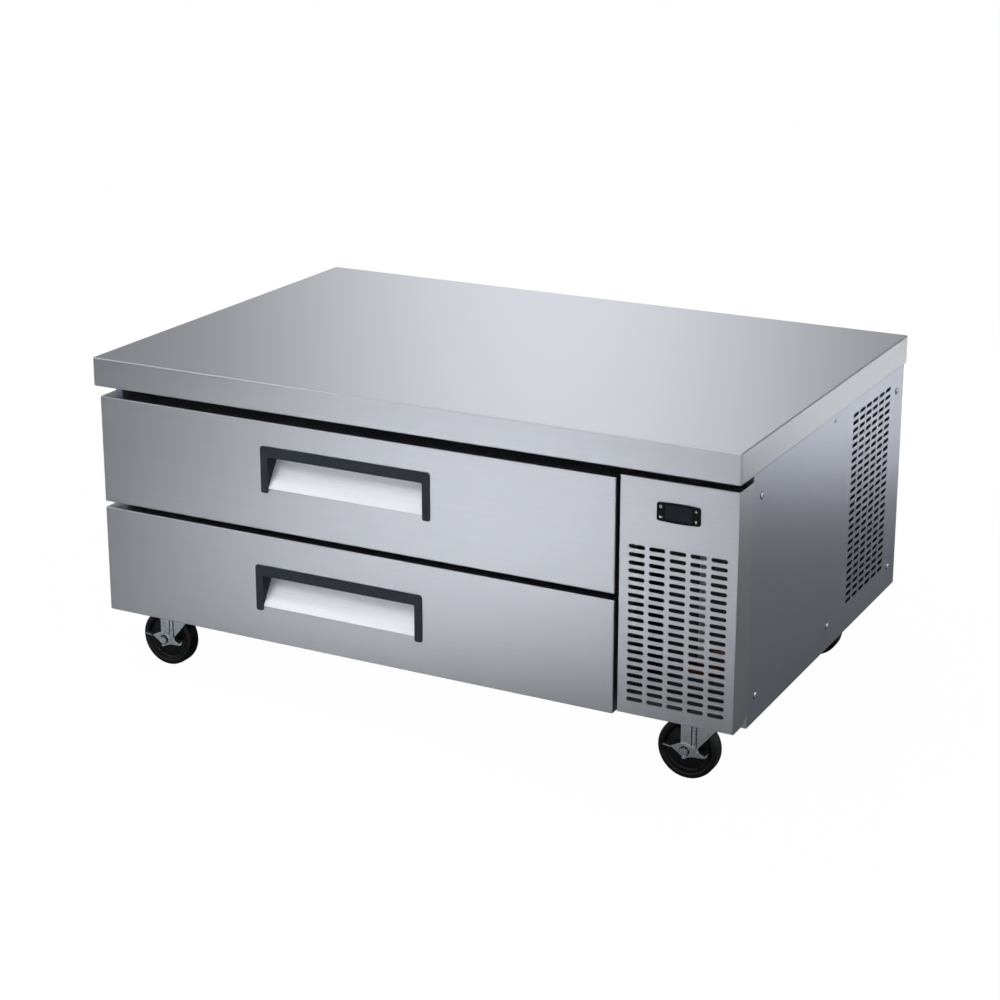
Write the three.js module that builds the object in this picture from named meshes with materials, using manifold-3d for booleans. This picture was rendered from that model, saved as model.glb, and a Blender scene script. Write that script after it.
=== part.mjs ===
// Refrigerated chef base: a low two-drawer refrigerated counter on four swivel casters.
// Millimetres, +Z up, +X to the right, -Y to the front. The origin is on the floor,
// under the middle of the worktop.
import * as THREE from "three";
import { mergeVertices } from "three/addons/utils/BufferGeometryUtils.js";
import Module from "manifold-3d";

const wasm = await Module();
wasm.setup();

// Overall size
const width = 1229;
const depth = 819;
const height = 604;

// Shared sizes and clearances
const sheet = 1.2; // folded stainless sheet
const seat = 0.3; // standing gap between pieces that touch
const overrun = 3; // how far a cutting tool runs past what it cuts
const half = 0.5;

// Worktop
const topThickness = 52;
const topCornerRadius = 4;
const topEdge = 1.5;
const topFold = 2; // wall of the folded skin

// Cabinet body, measured in from the edges of the worktop
const faceSetback = 2.5; // drawer fronts and grille
const bodySetback = 60.5; // front of the side panels
const sideSetback = 2;
const backSetback = 10;
const skirtBottom = 125; // lower edge of the side and back panels
const panelFlange = 14;
const baseThickness = 3;
const baseLip = 10;

// Cold compartment
const foamSide = 38;
const foamBack = 40;
const foamFloor = 34;
const foamRoof = 34;
const linerSheet = 1;
const frameDepth = 18;
const openingInset = 3; // front frame runs this far inside the cold compartment
const mullionHeight = 61;
const roofRail = 9; // front frame hangs this far below the roof of the compartment

// Drawer fronts
const drawerReveal = 11.5; // from the left end of the worktop
const drawerTopGap = 18;
const drawerFloorGap = 130.7; // lower edge of the lower drawer above the floor
const drawerGap = 10.7;
const drawerThickness = 46;
const gasketLap = 2;
const gasketWidth = 16;

// Grille cover over the machine compartment
const grilleWidth = 202;
const grilleGap = 7.2; // between drawers and grille
const grilleTopGap = 11;
const grilleFloorGap = 137;
const grilleLip = 20;
const returnClipDepth = 22;
const returnClipHeight = 13;
const partitionLap = 12; // insulated partition runs this far past the drawer fronts

// Punched vent slots
const slotLength = 28;
const slotHeight = 6.4;
const slotPitchAcross = 35.1;
const frontVentColumns = 5;
const frontVentRows = 20;
const frontVentBottom = 26.5; // lowest row above the lower edge of the grille
const frontVentTop = 116.25; // top row below its upper edge
const sideVentColumns = 6;
const sideVentRows = 26;
const sideVentTop = 28; // top row below the upper edge of the side panel
const sideVentBottom = 54.95; // lowest row above its lower edge
const sideVentBack = 74; // last column in from the back of the cabinet

// Handles
const handleWidth = 332;
const handleHeight = 84;
const handleBar = 19;
const handleLeg = 14;
const handleProud = 2;
const handleRadius = 5;
const handleLip = 6; // handle overlaps the edge of its cut-out
const handleSill = 8; // cut-out stops this far above the lower ends of the legs
const handleWall = 2;
const recessDepth = 38;
const upperHandleDrop = 43.5; // below the top edge of the drawer front
const lowerHandleDrop = 55;
const upperHandleShift = 0; // sideways from the middle of the drawer front
const lowerHandleShift = -17;

// Controller
const controllerWidth = 74;
const controllerHeight = 33;
const controllerBow = 1.6;
const controllerDrop = 50.5; // centre below the upper edge of the grille
const controllerProud = 2.2;
const controllerLap = 2; // bezel overlaps the cut-out
const controllerBody = 55;
const windowWidth = 46;
const windowHeight = 25;
const windowThickness = 1;
const keyWidth = 7;
const keyHeight = 7;
const keyThickness = 2.2;
const keyTravel = 0.8;
const keyProud = 0.2;
const keySpreadAcross = 60;
const keySpreadDown = 17;
const keyClearance = 0.3;

// Telescopic slides
const slideHeight = 45;
const slideDepth = 10;
const slideWall = 1.5;
const slideClearance = 0.6;
const slideDrop = 8.5; // top of the slides below the top of the drawer opening
const slideSetIn = 3; // slides start this far behind the front frame
const slideEndGap = 12.4; // and stop this far in front of the evaporator

// Pan frame
const panBayWidth = 310;
const panBar = 14;
const panFrameStart = 40; // front bar behind the drawer front
const panRearGap = 57; // rear bar in front of the ends of the slides
const panSheet = 1.5; // the bars are channels folded from this sheet, open below

// Casters
const casterHeight = 144;
const wheelRadius = 53;
const wheelSides = 20;
const treadWidth = 29;
const wheelChamfer = 4;
const hubRadius = 15;
const hubLength = 33;
const rimRadius = 40;
const webWidth = 12;
const axleRadius = 4.5;
const axleClearance = 0.4;
const casterTrail = 23;
const casterSideInset = 93;
const casterFrontInset = 103;
const casterBackInset = 119;
const plateWidth = 92;
const plateDepth = 72;
const plateThickness = 2.5;
const raceRadius = 31;
const raceHeight = 7.5;
const forkSheet = 2.5;
const forkSpace = 2; // between hub and fork leg
const crownRadius = 33;
const boltHeadRadius = 8;
const boltHeadLength = 6;
const pedalSheet = 2;
const pedalLeft = 48;
const pedalRight = 51;
const pedalRise = 9;
const pedalDrop = 11;
const pedalTab = 12;
const pedalClearance = 0.4;

// Condensing unit
const coilWidth = 140;
const coilRoofGap = 124.7; // coil below the top of the body
const coilDepth = 40;
const coilSetback = 66; // coil behind the front of the cabinet
const coilLift = 30; // above the base
const endPlate = 3;
const endPlateLap = 6;
const shroudGap = 4;
const shroudDepth = 34;
const shroudSheet = 1.5;
const strapWidth = 12;
const strapShift = -8;
const fanRadius = 66;
const fanHub = 18;
const fanHubLength = 18;
const fanClearance = 4;
const fanTipGap = 6.5;
const bladeCount = 5;
const bladeThickness = 1.6;
const bladeWidth = 26;
const bladePitch = 28; // degrees
const motorRadius = 30;
const motorLength = 45;
const shaftRadius = 3;
const shaftClearance = 0.4;
const armWidth = 10;
const trayWidth = 176;
const trayDepth = 300;
const trayLip = 12;
const trayBackGap = 117; // behind the tray, for the air to leave
const compressorRadius = 68;
const compressorHeight = 165;
const compressorFoot = 14;
const footRadius = 9;
const footSpread = 62;
const terminalWidth = 36;
const terminalDepth = 14;
const pipeRadius = 5;
const pipeBend = 20;
const pipeSides = 8;
const crossPipeHeight = 226; // copper run that shows behind the grille
const crossPipeLength = 66;

// Evaporator
const evaporatorWidth = 620;
const evaporatorRoofGap = 50;
const evaporatorDepth = 72;
const evaporatorCoilDepth = 30;
const evaporatorCoilInset = 20; // coil inside the cover, above and below
const evaporatorCoilWidth = 560;
const evaporatorFloorGap = 45;
const evaporatorFanRadius = 58;
const evaporatorHub = 16;
const evaporatorMotor = 22;
const evaporatorMotorLength = 26;

// Mains inlet
const glandRadius = 12;
const glandCollar = 17;
const glandLength = 8; // stays inside the overhang of the worktop
const glandCollarLength = 3;
const glandBore = 5;
const glandHeight = 190;
const glandInset = 80;

// Derived planes
const left = -width * half;
const right = width * half;
const front = -depth * half;
const back = depth * half;
const faceFront = front + faceSetback;
const bodyFront = front + bodySetback;
const bodyBack = back - backSetback;
const bodyLeft = left + sideSetback;
const bodyRight = right - sideSetback;
const worktopBottom = height - topThickness;
const bodyTop = worktopBottom - seat;
const baseTop = casterHeight + baseThickness;
const innerLeft = bodyLeft + sheet + seat;
const innerRight = bodyRight - sheet - seat;
const innerBack = bodyBack - sheet - seat;
const grilleRight = bodyRight;
const grilleLeft = grilleRight - grilleWidth;
const grilleTop = worktopBottom - grilleTopGap;
const grilleBottom = grilleFloorGap;
const drawerLeft = left + drawerReveal;
const drawerRight = grilleLeft - grilleGap;
const drawerBack = faceFront + drawerThickness;
const partitionRight = drawerRight + partitionLap;
const cavityLeft = innerLeft + foamSide;
const cavityRight = partitionRight - foamSide;
const cavityBottom = baseTop + seat + foamFloor;
const cavityTop = bodyTop - foamRoof;
const cavityBack = innerBack - foamBack;
const frameBack = bodyFront + frameDepth;
const linerLeft = cavityLeft + seat + linerSheet;
const linerRight = cavityRight - seat - linerSheet;
const linerBack = cavityBack - seat - linerSheet;
const linerBottom = cavityBottom + seat + linerSheet;
const openingLeft = cavityLeft + openingInset;
const openingRight = cavityRight - openingInset;
const upperDrawerTop = worktopBottom - drawerTopGap;
const drawerHeight = (upperDrawerTop - drawerFloorGap - drawerGap) * half;
const lowerDrawerTop = upperDrawerTop - drawerHeight - drawerGap;
const drawerJoint = upperDrawerTop - drawerHeight - drawerGap * half;
const openings = [
  { bottom: drawerJoint + mullionHeight * half, top: cavityTop - roofRail },
  { bottom: linerBottom, top: drawerJoint - mullionHeight * half },
];

// Finishes
const finish = (color, roughness, metalness) =>
  new THREE.MeshStandardMaterial({ color, roughness, metalness, flatShading: true });
const stainless = finish("#a9adb4", 0.34, 1);
const brightStainless = finish("#d3d5da", 0.24, 1);
const galvanised = finish("#8f969c", 0.5, 1);
const zinc = finish("#a3abb1", 0.36, 1);
const handlePlastic = finish("#2a2e36", 0.55, 0);
const framePlastic = finish("#16171a", 0.6, 0);
const bezelPlastic = finish("#0d0f12", 0.2, 0);
const windowPlastic = finish("#1d2029", 0.12, 0);
const keyPlastic = finish("#15181c", 0.35, 0);
const gasketRubber = finish("#3a3d42", 0.8, 0);
const foam = finish("#d8cfa8", 0.95, 0);
const linerSteel = finish("#b9bcc0", 0.4, 1);
const wheelRubber = finish("#101012", 0.45, 0);
const compressorPaint = finish("#141416", 0.45, 0.3);
const finPack = finish("#2a2b2d", 0.55, 0.8);
const fanPlastic = finish("#1c1d1f", 0.5, 0);
const copper = finish("#a5603c", 0.35, 1);
const aluminium = finish("#b7babd", 0.45, 1);

// A closed mesh as a solid that can be joined or cut
function solidOf(geometry) {
  const bare = geometry.clone();
  bare.deleteAttribute("normal");
  bare.deleteAttribute("uv");
  const merged = mergeVertices(bare, 1e-5);
  return new wasm.Manifold(new wasm.Mesh({
    numProp: 3,
    vertProperties: new Float32Array(merged.attributes.position.array),
    triVerts: new Uint32Array(merged.index.array),
  }));
}

function geometryOf(solid) {
  const mesh = solid.getMesh();
  const geometry = new THREE.BufferGeometry();
  geometry.setAttribute("position", new THREE.BufferAttribute(mesh.vertProperties, mesh.numProp));
  geometry.setIndex(new THREE.BufferAttribute(mesh.triVerts, 1));
  geometry.computeVertexNormals();
  return geometry;
}

const join = (...pieces) =>
  geometryOf(pieces.map(solidOf).reduce((whole, next) => whole.add(next)));
const cut = (base, ...tools) =>
  geometryOf(tools.map(solidOf).reduce((rest, tool) => rest.subtract(tool), solidOf(base)));

// A block between two opposite corners
function block([x0, y0, z0], [x1, y1, z1]) {
  const geometry = new THREE.BoxGeometry();
  const corners = geometry.attributes.position;
  for (let index = 0; index < corners.count; index += 1) {
    corners.setXYZ(index,
      corners.getX(index) < 0 ? x0 : x1,
      corners.getY(index) < 0 ? y0 : y1,
      corners.getZ(index) < 0 ? z0 : z1);
  }
  return geometry;
}

function rod(radius, from, to, sides) {
  const start = new THREE.Vector3(...from);
  const along = new THREE.Vector3(...to).sub(start);
  const geometry = new THREE.CylinderGeometry(radius, radius, along.length(), sides);
  const up = new THREE.Vector3(0, 1, 0);
  const turn = new THREE.Quaternion().setFromUnitVectors(up, along.clone().normalize());
  const middle = start.addScaledVector(along, half);
  return geometry.applyQuaternion(turn).translate(middle.x, middle.y, middle.z);
}

function rectangle(x0, y0, x1, y1) {
  const shape = new THREE.Shape();
  shape.moveTo(x0, y0).lineTo(x1, y0).lineTo(x1, y1).lineTo(x0, y1).closePath();
  return shape;
}

function polygon(points) {
  return new THREE.Shape(points.map(([x, y]) => new THREE.Vector2(x, y)));
}

// An outline given in Y and Z, drawn out along X from x0 to x1
function drawnAlongX(shape, x0, x1, curveSegments = 2) {
  const geometry = new THREE.ExtrudeGeometry(shape, {
    depth: x1 - x0, bevelEnabled: false, curveSegments,
  });
  const turn = new THREE.Matrix4().makeBasis(
    new THREE.Vector3(0, 1, 0), new THREE.Vector3(0, 0, 1), new THREE.Vector3(1, 0, 0));
  return geometry.applyMatrix4(turn).translate(x0, 0, 0);
}

// An outline given in X and Z, drawn out along Y from y0 to y1
function drawnAlongY(shape, y0, y1, curveSegments = 2) {
  const geometry = new THREE.ExtrudeGeometry(shape, {
    depth: y1 - y0, bevelEnabled: false, curveSegments,
  });
  const turn = new THREE.Matrix4().makeBasis(
    new THREE.Vector3(1, 0, 0), new THREE.Vector3(0, 0, 1), new THREE.Vector3(0, -1, 0));
  return geometry.applyMatrix4(turn).translate(0, y1, 0);
}

// An outline given in X and Y, drawn out along Z from z0 to z1
function drawnAlongZ(shape, z0, z1, curveSegments = 2) {
  const geometry = new THREE.ExtrudeGeometry(shape, {
    depth: z1 - z0, bevelEnabled: false, curveSegments,
  });
  return geometry.translate(0, 0, z0);
}

function roundedRectangle(x0, y0, x1, y1, radius) {
  const shape = new THREE.Shape();
  shape.moveTo(x0 + radius, y0);
  shape.absarc(x1 - radius, y0 + radius, radius, -Math.PI / 2, 0);
  shape.absarc(x1 - radius, y1 - radius, radius, 0, Math.PI / 2);
  shape.absarc(x0 + radius, y1 - radius, radius, Math.PI / 2, Math.PI);
  shape.absarc(x0 + radius, y0 + radius, radius, Math.PI, Math.PI * 1.5);
  return shape;
}

// A grid of slots with round ends, cut into an outline
function punchSlots(shape, columns, rows, firstAcross, lowest, highest) {
  const end = slotHeight * half;
  const straight = slotLength * half - end;
  for (let column = 0; column < columns; column += 1) {
    for (let row = 0; row < rows; row += 1) {
      const across = firstAcross + column * slotPitchAcross;
      const up = lowest + (highest - lowest) * (row / (rows - 1));
      const slot = new THREE.Path();
      slot.absarc(across + straight, up, end, -Math.PI / 2, Math.PI / 2);
      slot.absarc(across - straight, up, end, Math.PI / 2, Math.PI * 1.5);
      slot.closePath();
      shape.holes.push(slot);
    }
  }
  return shape;
}

const chefBase = new THREE.Group();

function place(parent, name, geometry, material, position = [0, 0, 0]) {
  const mesh = new THREE.Mesh(geometry, material);
  mesh.name = name;
  mesh.position.set(...position);
  parent.add(mesh);
  return mesh;
}

// Worktop: a folded skin with eased edges, open below, over a bonded core board
function worktopSkin() {
  const outline = roundedRectangle(
    left + topEdge, front + topEdge, right - topEdge, back - topEdge, topCornerRadius - topEdge);
  const slab = new THREE.ExtrudeGeometry(outline, {
    depth: topThickness - topEdge * 2,
    bevelEnabled: true,
    bevelSize: topEdge,
    bevelThickness: topEdge,
    bevelSegments: 1,
    curveSegments: 1,
  });
  const hollow = block(
    [left + topFold, front + topFold, worktopBottom - overrun],
    [right - topFold, back - topFold, height - topFold]);
  return cut(slab.translate(0, 0, worktopBottom + topEdge), hollow);
}
place(chefBase, "worktop", worktopSkin(), stainless);
const coreInset = topFold + seat;
place(chefBase, "worktop_core", block(
  [left + coreInset, front + coreInset, worktopBottom],
  [right - coreInset, back - coreInset, height - coreInset]), galvanised);

// Side panels: a face with one flange turned in at the front
function sidePanel(outerX, inward, vented) {
  const innerX = outerX + inward * sheet;
  const x0 = Math.min(outerX, innerX);
  const x1 = Math.max(outerX, innerX);
  const outline = rectangle(bodyFront, skirtBottom, bodyBack, bodyTop);
  if (vented) {
    const last = bodyBack - sideVentBack - slotLength * half;
    const first = last - (sideVentColumns - 1) * slotPitchAcross;
    punchSlots(outline, sideVentColumns, sideVentRows, first,
      skirtBottom + sideVentBottom, bodyTop - sideVentTop);
  }
  const flangeEnd = outerX + inward * panelFlange;
  const flange = block(
    [Math.min(outerX, flangeEnd), bodyFront, skirtBottom],
    [Math.max(outerX, flangeEnd), bodyFront + sheet, bodyTop]);
  return join(drawnAlongX(outline, x0, x1, 1), flange);
}
place(chefBase, "left_side_panel", sidePanel(bodyLeft, 1, false), stainless);
place(chefBase, "right_side_panel", sidePanel(bodyRight, -1, true), stainless);

// Back panel and base
place(chefBase, "back_panel", block(
  [innerLeft, bodyBack - sheet, skirtBottom], [innerRight, bodyBack, bodyTop]), stainless);

function baseChannel() {
  const y0 = bodyFront + sheet + seat;
  const y1 = innerBack;
  const low = casterHeight - baseLip;
  const profile = polygon([
    [y0, low], [y0 + baseThickness, low], [y0 + baseThickness, casterHeight],
    [y1 - baseThickness, casterHeight], [y1 - baseThickness, low], [y1, low],
    [y1, baseTop], [y0, baseTop],
  ]);
  return drawnAlongX(profile, innerLeft, innerRight);
}
place(chefBase, "base_frame", baseChannel(), galvanised);

// Cold compartment
function insulationShell() {
  const outer = block(
    [innerLeft, frameBack + seat, baseTop + seat], [partitionRight, innerBack, bodyTop]);
  const hollow = block(
    [cavityLeft, frameBack - overrun, cavityBottom], [cavityRight, cavityBack, cavityTop]);
  return cut(outer, hollow);
}
place(chefBase, "insulation", insulationShell(), foam);

function linerBox() {
  const outer = block(
    [cavityLeft + seat, frameBack + seat, cavityBottom + seat],
    [cavityRight - seat, cavityBack - seat, cavityTop - seat]);
  const hollow = block(
    [linerLeft, frameBack - overrun, linerBottom],
    [linerRight, linerBack, cavityTop - seat - linerSheet]);
  return cut(outer, hollow);
}
place(chefBase, "inner_liner", linerBox(), linerSteel);

function frontFrame() {
  const outline = rectangle(
    bodyLeft + panelFlange + seat, baseTop + seat, partitionRight, bodyTop);
  for (const opening of openings) {
    outline.holes.push(rectangle(openingLeft, opening.bottom, openingRight, opening.top));
  }
  return drawnAlongY(outline, bodyFront, frameBack);
}
place(chefBase, "front_frame", frontFrame(), framePlastic);

// Grille cover with its side returns, lips and controller cut-out
const grilleCentre = (grilleLeft + grilleRight) * half;
const controllerZ = grilleTop - controllerDrop;
const controllerHoleHalfWidth = controllerWidth * half - controllerLap;
const controllerHoleHalfHeight = controllerHeight * half - controllerBow - controllerLap;

function grilleCover() {
  const outline = rectangle(grilleLeft, grilleBottom, grilleRight, grilleTop);
  const first = grilleCentre - (frontVentColumns - 1) * half * slotPitchAcross;
  punchSlots(outline, frontVentColumns, frontVentRows, first,
    grilleBottom + frontVentBottom, grilleTop - frontVentTop);
  outline.holes.push(rectangle(
    grilleCentre - controllerHoleHalfWidth, controllerZ - controllerHoleHalfHeight,
    grilleCentre + controllerHoleHalfWidth, controllerZ + controllerHoleHalfHeight));
  const face = drawnAlongY(outline, faceFront, faceFront + sheet, 1);
  const rear = bodyFront - seat;
  const clipped = polygon([
    [faceFront, grilleBottom], [rear - returnClipDepth, grilleBottom],
    [rear, grilleBottom + returnClipHeight], [rear, grilleTop], [faceFront, grilleTop],
  ]);
  const rightReturn = drawnAlongX(clipped, grilleRight - sheet, grilleRight);
  const leftReturn = drawnAlongX(clipped, grilleLeft, grilleLeft + sheet);
  const lipBack = faceFront + grilleLip;
  const topLip = block(
    [grilleLeft, faceFront, grilleTop - sheet], [grilleRight, lipBack, grilleTop]);
  const bottomLip = block(
    [grilleLeft, faceFront, grilleBottom], [grilleRight, lipBack, grilleBottom + sheet]);
  return join(face, rightReturn, leftReturn, topLip, bottomLip);
}
place(chefBase, "grille_panel", grilleCover(), stainless);

// Controller: bowed bezel with a body behind the grille, a window and four keys
const controller = new THREE.Group();
controller.position.set(grilleCentre, faceFront, controllerZ);
chefBase.add(controller);
const bezelFront = -controllerProud;
const keyPlaces = [
  ["key_power", -1, 1], ["key_defrost", -1, -1], ["key_up", 1, 1], ["key_down", 1, -1],
];

function controllerCase() {
  const x = controllerWidth * half;
  const z = controllerHeight * half - controllerBow;
  const outline = new THREE.Shape();
  outline.moveTo(-x, -z);
  outline.quadraticCurveTo(0, -z - controllerBow * 2, x, -z);
  outline.lineTo(x, z);
  outline.quadraticCurveTo(0, z + controllerBow * 2, -x, z);
  outline.closePath();
  const bezel = drawnAlongY(outline, bezelFront, -seat, 6);
  const bodyX = controllerHoleHalfWidth - seat;
  const bodyZ = controllerHoleHalfHeight - seat;
  const floorY = bezelFront + windowThickness + seat;
  const body = block([-bodyX, floorY, -bodyZ], [bodyX, controllerBody, bodyZ]);
  const pocketX = windowWidth * half + seat;
  const pocketZ = windowHeight * half + seat;
  const windowPocket = block(
    [-pocketX, bezelFront - overrun, -pocketZ], [pocketX, floorY, pocketZ]);
  const keyPockets = keyPlaces.map(([, across, up]) => {
    const keyX = across * keySpreadAcross * half;
    const keyZ = up * keySpreadDown * half;
    const keyBack = bezelFront - keyProud + keyThickness + keyTravel + seat;
    const aside = keyWidth * half + keyClearance;
    const above = keyHeight * half + keyClearance;
    return block(
      [keyX - aside, bezelFront - overrun, keyZ - above], [keyX + aside, keyBack, keyZ + above]);
  });
  return cut(join(bezel, body), windowPocket, ...keyPockets);
}
place(controller, "controller_case", controllerCase(), bezelPlastic);
place(controller, "controller_window", block(
  [-windowWidth * half, bezelFront, -windowHeight * half],
  [windowWidth * half, bezelFront + windowThickness, windowHeight * half]), windowPlastic);
for (const [name, across, up] of keyPlaces) {
  const key = roundedRectangle(
    -keyWidth * half, -keyHeight * half, keyWidth * half, keyHeight * half, keyClearance * 4);
  const keyX = across * keySpreadAcross * half;
  const keyZ = up * keySpreadDown * half;
  const keyFront = bezelFront - keyProud;
  place(controller, name, drawnAlongY(key, keyFront, keyFront + keyThickness, 1), keyPlastic,
    [keyX, 0, keyZ]);
}

// Slide channels: a C section open towards the drawer. side is 1 on the left, -1 on the right.
function channel(wallX, side, outerHeight, sectionDepth, y0, y1, middle) {
  const x = (offset) => wallX + side * offset;
  const top = middle + outerHeight * half;
  const low = middle - outerHeight * half;
  const profile = [
    [x(0), low], [x(sectionDepth), low], [x(sectionDepth), low + slideWall],
    [x(slideWall), low + slideWall], [x(slideWall), top - slideWall],
    [x(sectionDepth), top - slideWall], [x(sectionDepth), top], [x(0), top],
  ];
  if (side < 0) {
    profile.reverse();
  }
  return drawnAlongY(polygon(profile), y0, y1);
}

const evaporatorBack = linerBack - seat;
const evaporatorFront = evaporatorBack - evaporatorDepth;
const slideStart = frameBack + slideSetIn;
const slideEnd = evaporatorFront - slideEndGap;
const middleHeight = slideHeight - (slideWall + slideClearance) * 2;
const innerHeight = middleHeight - (slideWall + slideClearance) * 2;
const middleOffset = slideWall + slideClearance;
const innerOffset = middleOffset * 2;
const innerDepth = slideDepth - innerOffset + slideDepth * half;

function slideWallX(side) {
  return side > 0 ? linerLeft + seat : linerRight - seat;
}

// Pan frame: a ladder of flat bars between the drawer's own two slide members
function panFrame(middle) {
  const startX = slideWallX(1) + innerOffset;
  const endX = slideWallX(-1) - innerOffset;
  const innerStartX = startX + innerDepth;
  const innerEndX = endX - innerDepth;
  const frontY = drawerBack + seat;
  const startY = drawerBack + panFrameStart;
  const bayStart = startY + panBar;
  const bayEnd = slideEnd - panRearGap - panBar;
  const low = middle - innerHeight * half;
  const top = middle + innerHeight * half;
  const bay = (x0, x1, y0, y1) => block([x0, y0, low - overrun], [x1, y1, top + overrun]);
  const secondBay = innerStartX + panBayWidth + panBar;
  const thirdBay = secondBay + panBayWidth + panBar;
  const fold = (x0, x1, y0, y1) => block(
    [x0 + panSheet, y0 + panSheet, low - overrun], [x1 - panSheet, y1 - panSheet, top - panSheet]);
  return cut(
    block([startX, frontY, low], [endX, slideEnd, top]),
    bay(innerStartX, innerEndX, frontY + panBar, startY),
    bay(innerStartX, innerStartX + panBayWidth, bayStart, bayEnd),
    bay(secondBay, secondBay + panBayWidth, bayStart, bayEnd),
    bay(thirdBay, innerEndX, bayStart, bayEnd),
    bay(innerStartX, innerEndX, bayEnd + panBar, slideEnd + overrun),
    fold(startX, innerStartX, frontY, slideEnd),
    fold(innerEndX, endX, frontY, slideEnd),
    fold(innerStartX, innerEndX, frontY, frontY + panBar),
    fold(innerStartX, innerEndX, startY, bayStart),
    fold(innerStartX, innerEndX, bayEnd, bayEnd + panBar),
    fold(secondBay - panBar, secondBay, bayStart, bayEnd),
    fold(thirdBay - panBar, thirdBay, bayStart, bayEnd));
}

// Drawer front: folded skin, insulated inner panel, gasket, handle and pan frame
function drawerSkin(top, low, holeBox) {
  const shell = block([drawerLeft, faceFront, low], [drawerRight, drawerBack, top]);
  const hollow = block(
    [drawerLeft + sheet, faceFront + sheet, low + sheet],
    [drawerRight - sheet, drawerBack + overrun, top - sheet]);
  const hole = block(
    [holeBox.x0, faceFront - overrun, holeBox.z0],
    [holeBox.x1, faceFront + sheet + overrun, holeBox.z1]);
  return cut(shell, hollow, hole);
}

function drawerPanel(top, low, holeBox) {
  const inset = sheet + seat;
  const slab = block(
    [drawerLeft + inset, faceFront + inset, low + inset],
    [drawerRight - inset, drawerBack, top - inset]);
  const pocketBack = faceFront + sheet + recessDepth + handleWall + seat * 2;
  const pocket = block(
    [holeBox.x0 - seat, faceFront - overrun, holeBox.z0 - handleWall - seat],
    [holeBox.x1 + seat, pocketBack, holeBox.z1 + seat]);
  return cut(slab, pocket);
}

function gasketRing(opening) {
  const outer = gasketLap + gasketWidth;
  const outline = rectangle(
    openingLeft - outer, opening.bottom - outer, openingRight + outer, opening.top + outer);
  outline.holes.push(rectangle(
    openingLeft - gasketLap, opening.bottom - gasketLap,
    openingRight + gasketLap, opening.top + gasketLap));
  return drawnAlongY(outline, drawerBack + seat, bodyFront - seat);
}

// Handle: a U-shaped plastic trim with a cheek on each side of the recess
function handleTrim(handle, holeBox) {
  const outline = roundedRectangle(
    handle.x0, handle.z0, handle.x1, handle.z1, handleRadius);
  const cover = drawnAlongY(outline, faceFront - handleProud, faceFront - seat, 1);
  const clear = block(
    [handle.x0 + handleLeg, faceFront - handleProud - overrun, handle.z0 - overrun],
    [handle.x1 - handleLeg, faceFront + overrun, handle.z1 - handleBar]);
  const cheekBack = faceFront + sheet + recessDepth;
  const cheek = (x0, x1) => block(
    [x0, faceFront - handleProud * half, holeBox.z0 + seat], [x1, cheekBack, holeBox.z1 - seat]);
  const leftCheek = cheek(holeBox.x0 + seat, handle.x0 + handleLeg);
  const rightCheek = cheek(handle.x1 - handleLeg, holeBox.x1 - seat);
  const grip = block(
    [holeBox.x0 + seat, faceFront - handleProud * half, handle.z1 - handleBar],
    [holeBox.x1 - seat, faceFront + sheet + handleWall, handle.z1 - handleBar + handleWall]);
  const ceiling = block(
    [holeBox.x0 + seat, faceFront - handleProud * half, holeBox.z1 - seat - handleWall],
    [holeBox.x1 - seat, cheekBack, holeBox.z1 - seat]);
  return join(cut(cover, clear), leftCheek, rightCheek, grip, ceiling);
}

// Stainless scoop: slopes back from the sill, then rises to the ceiling of the recess
function handleScoop(handle, holeBox) {
  const y0 = faceFront;
  const y1 = faceFront + sheet + recessDepth - handleWall;
  const z0 = holeBox.z0 + seat;
  const z1 = z0 + recessDepth;
  const topZ = holeBox.z1 - seat * 2 - handleWall;
  const profile = polygon([
    [y0, z0], [y0 + linerSheet, z0], [y1, z1 - linerSheet],
    [y1, topZ], [y1 - linerSheet, topZ], [y1 - linerSheet, z1],
  ]);
  const cheekWall = handleLeg + seat;
  return drawnAlongX(profile, handle.x0 + cheekWall, handle.x1 - cheekWall);
}

function slideMembers(label, middle) {
  for (const [sideName, side] of [["left", 1], ["right", -1]]) {
    const wallX = slideWallX(side);
    place(chefBase, `${label}_rail_${sideName}`,
      channel(wallX, side, slideHeight, slideDepth, slideStart, slideEnd, middle), zinc);
    const middleDepth = slideDepth - middleOffset + slideClearance;
    place(chefBase, `${label}_slide_${sideName}`,
      channel(wallX + side * middleOffset, side, middleHeight, middleDepth,
        slideStart, slideEnd, middle), zinc);
  }
}

function drawer(label, top, opening, handleDrop, handleShift) {
  const low = top - drawerHeight;
  const centre = (drawerLeft + drawerRight) * half + handleShift;
  const handle = {
    x0: centre - handleWidth * half, x1: centre + handleWidth * half,
    z0: top - handleDrop - handleHeight, z1: top - handleDrop,
  };
  const holeBox = {
    x0: handle.x0 + handleLip, x1: handle.x1 - handleLip,
    z0: handle.z0 + handleSill, z1: handle.z1 - handleLip,
  };
  const middle = opening.top - slideDrop - slideHeight * half;
  place(chefBase, `${label}_front`, drawerSkin(top, low, holeBox), stainless);
  place(chefBase, `${label}_inner_panel`, drawerPanel(top, low, holeBox), aluminium);
  place(chefBase, `${label}_gasket`, gasketRing(opening), gasketRubber);
  place(chefBase, `${label}_handle`, handleTrim(handle, holeBox), handlePlastic);
  place(chefBase, `${label}_handle_scoop`, handleScoop(handle, holeBox), brightStainless);
  place(chefBase, `${label}_pan_frame`, panFrame(middle), linerSteel);
  slideMembers(label, middle);
}
drawer("upper_drawer", upperDrawerTop, openings[0], upperHandleDrop, upperHandleShift);
drawer("lower_drawer", lowerDrawerTop, openings[1], lowerHandleDrop, lowerHandleShift);

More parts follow.
